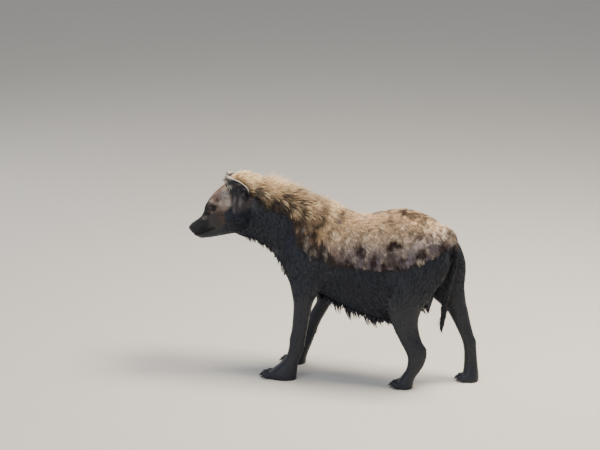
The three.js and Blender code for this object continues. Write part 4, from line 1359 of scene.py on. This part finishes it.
def makeLids(side, name, skinPoints):  # a rolled rim round an almond opening, run out into the skin
    look, front, up = eyeAxes(side)
    centre = eyeCentre(side)
    turns = np.linspace(0, 2 * math.pi, lids["points"], endpoint=False)
    high = np.where(np.sin(turns) > 0, lids["upper"], lids["lower"])
    x = lids["halfLength"] * np.cos(turns)
    y = high * np.sin(turns) * np.abs(np.sin(turns)) ** 0.25
    away = skinPoints - centre
    nearSkin = away[(np.linalg.norm(away, axis=1) < lids["near"]) & (away @ look > -6)]
    flat = np.stack((nearSkin @ front, nearSkin @ up), 1)
    outX, outY = lids["reach"] * np.cos(turns), lids["reach"] * np.sin(turns)
    nearestSkin = [np.argmin(((flat - place) ** 2).sum(1)) for place in np.stack((outX, outY), 1)]
    level = (nearSkin @ look)[nearestSkin]
    level = (np.roll(level, 1) + 2 * level + np.roll(level, -1)) / 4 - lids["sunk"]
    ball = eyes["radius"] + lids["gap"]
    rho = np.hypot(x, y)
    inner = np.sqrt(np.maximum(ball**2 - rho**2, 4))
    rims = [(x * 0.97, y * 0.97, inner - 1.5), (x, y, inner + 0.2)]
    grow = 1 + lids["rim"] / np.maximum(rho, 1)
    rimX, rimY, rimA = x * grow, y * grow, inner + lids["rim"] * 0.9
    for share in (0, 0.12, 0.26, 0.42, 0.58, 0.76, 1):
        crease = lids["crease"] * bell(share, lids["creasePlace"], lids["creaseWidth"])
        crease = crease * np.clip(np.sin(turns), 0, 1)
        bulge = lids["bulge"] * math.sin(math.pi * min(share * 1.6, 1)) - crease
        height = blend(rimA, level, smoothStep(0, 1, share)) + bulge
        rims.append((blend(rimX, outX, share), blend(rimY, outY, share), height))
    rings = [centre + a[:, None] * front + b[:, None] * up + c[:, None] * look for a, b, c in rims]
    bm = bmesh.new()
    drawShell(bm, [toRow(ring) for ring in rings], closed=False)
    bmesh.ops.recalc_face_normals(bm, faces=bm.faces)
    piece = linkObject(name, settledMesh(name, bm))
    if (normalsOf(piece.data) @ look).mean() < 0:
        piece.data.flip_normals()
    points = pointsOf(piece.data)
    away = aroundEye(points, side)[1]
    colour = paint(facePaint(points), "socket", smoothStep(19, 15, away))
    colour = paint(colour, "lip", smoothStep(15, 11.5, away))
    setAttributes(piece.data, colour, smoothStep(16, 12, away))
    finishPiece(piece, hideMaterial(), "dry_coat")


# The nose pad: bare pebbled skin, wet, with comma-shaped nostrils and a groove down its middle.
nose = {
    "centre": (0, 9, -11),
    "radii": (20, 12.5, 14.5),
    "nostril": ((10, -2, -12), (4.6, 9, 3.6), -8.5),
    "slit": ((18, 6, -15), (5.0, 8, 1.9), -4.0),
    "wing": ((15, 0, -8), (5, 8, 3), 1.2),
    "groove": ((0, -4, -20), (1.3, 9, 12), -1.8),
    "pebble": 1.1,
    "bare": (24, 17, 18),  # no hair within these radii
    # the pad's colour, and the near-black painted shade inside the nostrils
    "colours": ("#1E1C1D", "#050404"),
}


def makeNose():
    bm = bmesh.new()
    bmesh.ops.create_icosphere(bm, subdivisions=5, radius=1)
    local = np.array([vert.co for vert in bm.verts]) * nose["radii"]
    outward = unit(local / np.square(nose["radii"]))
    local = local + nose["centre"]
    for place, radii, height in (nose["nostril"], nose["slit"], nose["wing"], nose["groove"]):
        local = local + outward * (height * swelling(local, place, radii))[:, None]
    placeVerts(bm.verts, toRow(inHead(local)))
    piece = linkObject("nosePad", settledMesh("nosePad", bm))
    # painted shade: how deep in a nostril or its slit each point lies
    deep = np.zeros(len(local))
    for place, radii, _ in (nose["nostril"], nose["slit"]):
        away = awayFrom(local, place, radii)
        deep = np.maximum(deep, np.exp(-(away[:, [0, 2]] ** 2).sum(1)))
    setShare(piece.data, "deep", deep)
    material, tree, shader = newMaterial("wetNoseSkin")
    place = addNode(tree, "ShaderNodeTexCoord").outputs["Object"]
    pebbles = addNode(tree, "ShaderNodeTexVoronoi", {"Scale": 1000 / nose["pebble"]}, {"Vector": place})
    raiseGrain(tree, shader, pebbles.outputs[0], 0.5, 0.0006)
    rampOf(tree, shader, readShare(tree, "deep"), *map(linearOf, nose["colours"]))
    shader.inputs["Roughness"].default_value = 0.32
    finishPiece(piece, material, "nose_skin", "nose")


# Claws: blunt, little curved, worn at the tip.
claws = {"radius": 5.2, "narrow": 0.78, "length": 27, "rings": 7, "sides": 12, "start": 8, "bend": 46}
claws |= {"tip": 0.0007, "offFloor": 0.0012, "rootBack": 0.001, "rootDown": 0.0055}  # in metres
claws |= {"colours": ("#1B1715", "#4A4038")}
pawNames = {"fore_left": "clawsForeLeft", "fore_right": "clawsForeRight"}
pawNames |= {"hind_left": "clawsHindLeft", "hind_right": "clawsHindRight"}


def makeClaws(paw, name):
    bm = bmesh.new()
    nodes = [f"claw_{paw}_{number}" for number in range(1, toes["count"] + 1)]
    for node in nodes:
        low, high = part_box(node)
        spot = np.array(((low.x + high.x) / 2, high.y + claws["rootBack"], high.z - claws["rootDown"]))
        rings = []
        for i in range(claws["rings"]):
            share = i / (claws["rings"] - 1)
            turn = math.radians(claws["start"] + claws["bend"] * share)
            radius = claws["radius"] / 1000 * (1 - share**1.6) ** 0.7 + claws["tip"]
            circle = np.linspace(0, 2 * math.pi, claws["sides"], endpoint=False)
            across = np.cos(circle)[:, None] * np.array((radius * claws["narrow"], 0, 0))
            above = np.sin(circle)[:, None] * np.array((0, -math.sin(turn), math.cos(turn))) * radius
            rings.append(spot + across + above)
            heading = np.array((0, -math.cos(turn), -math.sin(turn)))
            spot = spot + heading * claws["length"] / 1000 / claws["rings"]
        lowest = min(ring[:, 2].min() for ring in rings)
        lift = np.array((0, 0, max(claws["offFloor"] - lowest, 0)))
        drawShell(bm, [ring + lift for ring in rings])
    bmesh.ops.recalc_face_normals(bm, faces=bm.faces)
    finishPiece(linkObject(name, settledMesh(name, bm)), clawMaterial(), "claw", *nodes)


# Horn: dark brown keratin in long layers, dull with mud and scratched along its length.
@cache
def clawMaterial():
    material, tree, shader = newMaterial("clawHorn")
    layers = grainOf(tree, 1.0, 4.0, (900, 90, 500))
    rampOf(tree, shader, layers, *map(linearOf, claws["colours"]))
    raiseGrain(tree, shader, layers, 0.4, 0.0005)
    shader.inputs["Roughness"].default_value = 0.45
    return material


def earPlaces(across, along, side):  # across runs from the front edge, -1, to the rear edge, 1
    widening = 0.6 + 0.4 * np.sin(math.pi / 2 * np.minimum(along / 0.5, 1))
    rounding = np.sqrt(1 - (np.maximum(along - 0.35, 0) / 0.66) ** 2)
    half = ear["width"] / 2 * widening * rounding
    depth = ear["depth"] * (1 - 0.75 * along)
    angle = across * ear["bend"]
    edge = math.cos(ear["bend"])
    x = half * np.sin(angle) / math.sin(ear["bend"]) - ear["sweep"] * along**2
    back = depth * (np.cos(angle) - edge) / (1 - edge)
    # two folds run up the inside, and the rear edge has its small pouch
    fold = bell(across + 0.15, 0.5 * along, 0.1) * smoothStep(0.85, 0.2, along)
    fold = fold + 0.8 * bell(across - 0.3 + 0.2 * along, 0, 0.09) * smoothStep(0.75, 0.1, along)
    pouch = bell(across, 0.86, 0.12) * bell(along, 0.26, 0.1)
    back = back - 3.4 * fold - 3 * pouch + 2.5 * np.maximum(np.abs(across) - 0.82, 0) / 0.18 * along
    height = ear["length"] * (along - 0.1 * across**2 * along)
    local = np.stack((side * x, back, height), 1)
    return inHead(local @ earTurned(side).T + (side * ear["side"], ear["back"], ear["up"]))


def makeEar(side, name, node):
    bm = bmesh.new()
    bmesh.ops.create_grid(bm, x_segments=ear["columns"], y_segments=ear["rows"], size=1)
    flat = np.array([vert.co for vert in bm.verts])
    places = earPlaces(flat[:, 0], (flat[:, 1] + 1) / 2, side)
    placeVerts(bm.verts, toRow(places))
    bmesh.ops.recalc_face_normals(bm, faces=bm.faces)
    bm.normal_update()
    bmesh.ops.solidify(bm, geom=bm.faces[:], thickness=ear["thick"] / 1000)
    bmesh.ops.recalc_face_normals(bm, faces=bm.faces)
    smoothVerts(bm, bm.verts, 0.4)
    piece = linkObject(name, settledMesh(name, bm))
    uv = unwrapSkin(piece)
    earMap = SkinMap(piece.data)
    earMap.uv = uv
    # where on the ear each point lies, from the sheet it was bent from
    grid = np.array([(a, b) for a in np.linspace(-1, 1, 41) for b in np.linspace(0, 1, 41)])
    sheet = earPlaces(grid[:, 0], grid[:, 1], side)
    found = nearest(earMap.points, sheet)
    across, along = grid[found].T
    further, nearer = np.minimum(along + 0.02, 1), np.maximum(along - 0.02, 0)
    earMap.lie = unit(earPlaces(across, further, side) - earPlaces(across, nearer, side))
    turned = turnAbout("Z", side * ear["turn"]) @ (0, 1.0, 0)
    outside = ((earMap.points - sheet[found]) * (headTurn @ turned)).sum(1) > 0
    # the rim: pale hair brightened as a painted highlight; the front margin's pale hair and the tip of the
    # back take the same colour
    rim = smoothStep(0.74, 0.9, across) + smoothStep(0.86, 0.95, along) * (across > -0.2)
    front = smoothStep(-0.35, -0.75, across)
    fine = blobNoise(earMap.points, 9, 21)
    streak = stretchedNoise(earMap.points, 6, 22, (1.0, 1.0, 0.2))
    # painted shade inside the ear: dark all over, darkest at the base of the cup and lighter towards the
    # tip, its hair streaks painted as seen in shade
    upper = 0.35 * smoothStep(0.5, 1.0, along)
    deep = smoothStep(0.45, 0.1, along) * smoothStep(0.8, 0.3, np.abs(across))
    colour = flood("earDark", across)
    colour = paint(colour, "earInside", 0.6 * smoothStep(0.1, 0.7, streak) + upper)
    # painted shade at the base of the cup, in the colour of the eye's socket
    colour = paint(colour, "socket", 0.8 * deep)
    colour = paint(colour, "earRim", 0.8 * front * smoothStep(0.15, 0.5, along))
    backColour = paint(mudPaint(across, fine), "earRim", 0.55 * smoothStep(0.8, 1.0, along))
    colour = np.where(outside[:, None], backColour, colour)
    colour = paint(colour, "earRim", 0.9 * np.clip(rim, 0, 1) * smoothStep(0.2, 0.4, along))
    earMap.colour, earMap.wet = colour, outside * 0.6
    inner = ~outside
    earMap.length = np.where(inner, 12 + 6 * front, 8.0) * (1 - 0.45 * along)
    earMap.lift = np.where(inner, 10 + 6 * front, 9.0)
    setAttributes(piece.data, colour * 0.85, earMap.wet)
    finishPiece(piece, hideMaterial(), "wet_coat", node)
    density = np.where(inner, 0.7 + 1.3 * (np.abs(across) > 0.6), 0.9) * smoothStep(0.0, 0.1, along)
    growCoat("coat" + name[0].upper() + name[1:], earMap, density[earMap.triangles].mean(1), 31 + side)


# Whiskers stand in rows on the lip, with a few over the eye.
whiskers = {"rows": 4, "each": 7, "length": (42, 74), "half": 0.42, "brow": 5, "browLength": 38}
whiskers |= {"lift": (34, 58), "droop": 0.25, "colour": "#141211"}


def makeWhiskers(skinPoints, skinNormals):
    draw = np.random.default_rng(5)
    roots, length = [], []
    for side in (1, -1):
        for row in range(whiskers["rows"]):
            for i in range(whiskers["each"]):
                roots.append((side * 40, 26 + 6.5 * i + 3 * (row % 2), -22 - 6 * row + 1.2 * i))
                length.append(draw.uniform(*whiskers["length"]) * (0.6 + 0.08 * i))
        for i in range(whiskers["brow"]):
            roots.append((side * (36 + 3 * i), 116 + 5 * i, 84))
            length.append(whiskers["browLength"])
    local = toHead(skinPoints)
    near = np.abs(local[:, 1] - 80) < 90
    found = np.flatnonzero(near)[nearest(np.array(roots), local[near])]
    root, normal = skinPoints[found], skinNormals[found]
    lie = unit(each(headTurn @ (0, 0.75, -0.35), root) + draw.normal(0, 0.12, (len(root), 3)))
    lie = unit(lie - normal * (lie * normal).sum(1, keepdims=True))
    lift = np.radians(draw.uniform(*whiskers["lift"], len(root)))
    length = np.array(length)
    path = tuftPaths(root, normal, lie, length, lift, 3, np.full(len(root), whiskers["droop"]))[0]
    black = each(linearOf(whiskers["colour"]), root)
    uv = np.full((len(root), 2), 0.5) + draw.uniform(-0.4, 0.4, (len(root), 2))
    half = np.full(len(root), whiskers["half"])
    mesh = tuftMesh("whiskers", path, normal, half, black, np.zeros(len(root)), uv)
    finishPiece(linkObject("whiskers", mesh), hairMaterial("dry_coat"), "dry_coat")


# Floor and light
studio = {"floor": "#D9D6D0", "world": "#DDE0E4", "worldStrength": 0.5}
# Panels of light: name, place, size, power, colour
lights = [
    ("sunPanel", (-0.4, 1.6, 4.4), 1.8, 420, "#FFF1DC"),
    ("fillPanel", (4.5, -2.0, 2.6), 3.0, 110, "#E8EEF8"),
    ("frontPanel", (-2.0, -4.5, 3.0), 2.5, 60, "#F2F2FF"),
]


def makeStudio():
    bm = bmesh.new()
    bmesh.ops.create_grid(bm, x_segments=1, y_segments=1, size=60)
    floor = meshObject("floor", bm)
    # smooth matt paint, faintly mottled
    material, tree, shader = newMaterial("paintedFloor")
    tone = linearOf(studio["floor"])
    rampOf(tree, shader, grainOf(tree, 3.0, 5.0), tone * 0.97, tone)
    shader.inputs["Roughness"].default_value = 0.8
    floor.data.materials.append(material)
    world = bpy.data.worlds.new("studio")
    bpy.context.scene.world = world
    world.use_nodes = True
    background = world.node_tree.nodes["Background"]
    background.inputs["Color"].default_value = (*linearOf(studio["world"]), 1)
    background.inputs["Strength"].default_value = studio["worldStrength"]
    for light in lights:
        addLight(*light)


def addLight(name, place, size, power, colour):
    data = bpy.data.lights.new(name, "AREA")
    data.size = size
    data.energy = power
    data.color = linearOf(colour)
    lamp = linkObject(name, data)
    lamp.location = place
    aim = Vector((0, 0, 0.5)) - Vector(place)
    lamp.rotation_euler = aim.to_track_quat("-Z", "Y").to_euler()


def clearEyes(points, labels):  # sinks the skin behind each eyeball, where the lids bridge it
    for side in (1, -1):
        ahead, away = aroundEye(points, side)
        here = isPart(labels, "head") & (away < lids["reach"]) & (ahead > -20)
        room = blend(*lids["room"], smoothStep(lids["reach"] - 6, lids["reach"], away))
        down = np.where(here, np.minimum(room - ahead, 0), 0)
        points = points + eyeLook(side) * down[:, None]
    return points


def dressSkin(skin):
    samples = surfaceSamples()
    points = pointsOf(skin.data)
    found = nearest(points, samples["points"])
    trunkSamples = np.flatnonzero(isPart(samples["label"], "trunk"))
    onTrunk = trunkSamples[nearest(points, samples["points"][trunkSamples])]
    labels, angles = samples["label"][found], samples["angle"][found]
    trunkPlaces, trunkAngles = samples["place"][onTrunk], samples["angle"][onTrunk]
    normals = normalsOf(skin.data)
    points = shapeHead(points, normals, isPart(labels, "head"))
    points = shapeBody(points, normals, labels)
    unsunk = shapeLegs(points, normals, labels, angles)
    points = clearEyes(unsunk, labels)
    points[:, 2] = np.maximum(points[:, 2], body["offFloor"])
    setPoints(skin.data, points)
    skin.data.update()
    print("skin shaped")
    uvPlaces = unwrapSkin(skin)
    print("skin unwrapped")
    skinMap = SkinMap(skin.data)
    skinMap.uv = uvPlaces
    skinMap.unsunk = unsunk
    skinMap.colour, skinMap.wet, above = coatPaint(points, labels, trunkPlaces, trunkAngles)
    dry = 1 - skinMap.wet
    lie = coatLie(labels, angles, samples["along"][found], samples["round"][found], dry)
    length, lift, crest = coatLength(points, labels, dry, above, trunkPlaces, trunkAngles)
    # the dry coat of shoulder and thigh lies as the trunk's does
    trunkRound = samples["round"][onTrunk] * np.sign(trunkAngles)[:, None]
    fall = math.radians(hair["limbFall"])
    trunkLie = -samples["along"][onTrunk] * math.cos(fall) + trunkRound * math.sin(fall)
    lie = np.where((isPart(labels, *legNames) & (dry > 0.5))[:, None], trunkLie, lie)
    skinMap.lie = unit(skinMap.smoothed(unit(lie), hair["lieRounds"]))
    skinMap.length = skinMap.smoothed(length, hair["rounds"])
    skinMap.lift = skinMap.smoothed(lift, hair["rounds"])
    setAttributes(skin.data, skinMap.colour * 0.8, skinMap.wet)
    print("coat planned")
    return skinMap, labels, trunkPlaces, np.degrees(np.abs(trunkAngles)), dry, crest


regions = {"neckFrom": 9.3, "backWidth": 42, "manePart": 0.35}


def coatRegions(skinMap, labels, places, around, dry, crest):
    onTrunk, onHead, onTail = (isPart(labels, name) for name in ("trunk", "head", "tail"))
    foreleg = isPart(labels, "foreLeft", "foreRight")
    hindleg = isPart(labels, "hindLeft", "hindRight")
    isDry = dry > 0.5
    left = skinMap.points[:, 0] > 0
    onNeck = places > regions["neckFrom"]
    onBack = around < regions["backWidth"]
    mane = (crest > regions["manePart"]) & isDry
    upper = isDry & (onTrunk | foreleg | hindleg) & ~mane
    behind = upper & ~onNeck & ~foreleg
    lower = ~isDry & onTrunk
    hanging = lower & (around > fringe["around"]) & (places > fringe["from"]) & (places < fringe["to"])
    return {
        "coatMane": mane,
        "coatNeck": upper & (onNeck | foreleg),
        "coatBack": behind & onBack,
        "coatFlankLeft": behind & left & ~onBack,
        "coatFlankRight": behind & ~left & ~onBack,
        "coatBellyLeft": lower & left & ~onNeck,
        "coatBellyRight": lower & ~left & ~onNeck,
        "coatThroat": lower & onNeck,
        "coatFringe": hanging,
        "coatForelegs": ~isDry & foreleg,
        "coatHindlegs": ~isDry & hindleg,
        "coatHead": onHead & ~mane,
        "coatTail": onTail,
    }


def bareShare(points):  # no hair on the soles, at the eyes or behind the nose pad
    share = 0.35 + 0.65 * smoothStep(2, 14, points[:, 2])
    for side in (1, -1):
        ahead, away = aroundEye(points, side)
        share = share * np.where(ahead > -20, smoothStep(lids["reach"] - 3, lids["reach"], away), 1)
    local = toHead(points)
    pad = np.sqrt((awayFrom(local, nose["centre"], nose["bare"]) ** 2).sum(1))
    return share * smoothStep(1.0, 1.15, pad)


makeStudio()
skin = makeSkin()
skinMap, *skinPlan = dressSkin(skin)
bare = bareShare(skinMap.points)
for number, (name, here) in enumerate(coatRegions(skinMap, *skinPlan).items()):
    growCoat(name, skinMap, (here * bare)[skinMap.triangles].mean(1), hairSeed + number)
for side, name in ((1, "Left"), (-1, "Right")):
    makeEye(side, "eyeball" + name)
    makeLids(side, "lids" + name, skinMap.unsunk)
    makeEar(side, "ear" + name, "ear_" + name.lower())
makeNose()
makeWhiskers(skinMap.points, skinMap.normals)
for paw, name in pawNames.items():
    makeClaws(paw, name)

flesh = [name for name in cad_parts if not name.startswith(("eye", "claw", "nose", "ear"))]
finishPiece(skin, hideMaterial(), "wet_coat", *flesh)
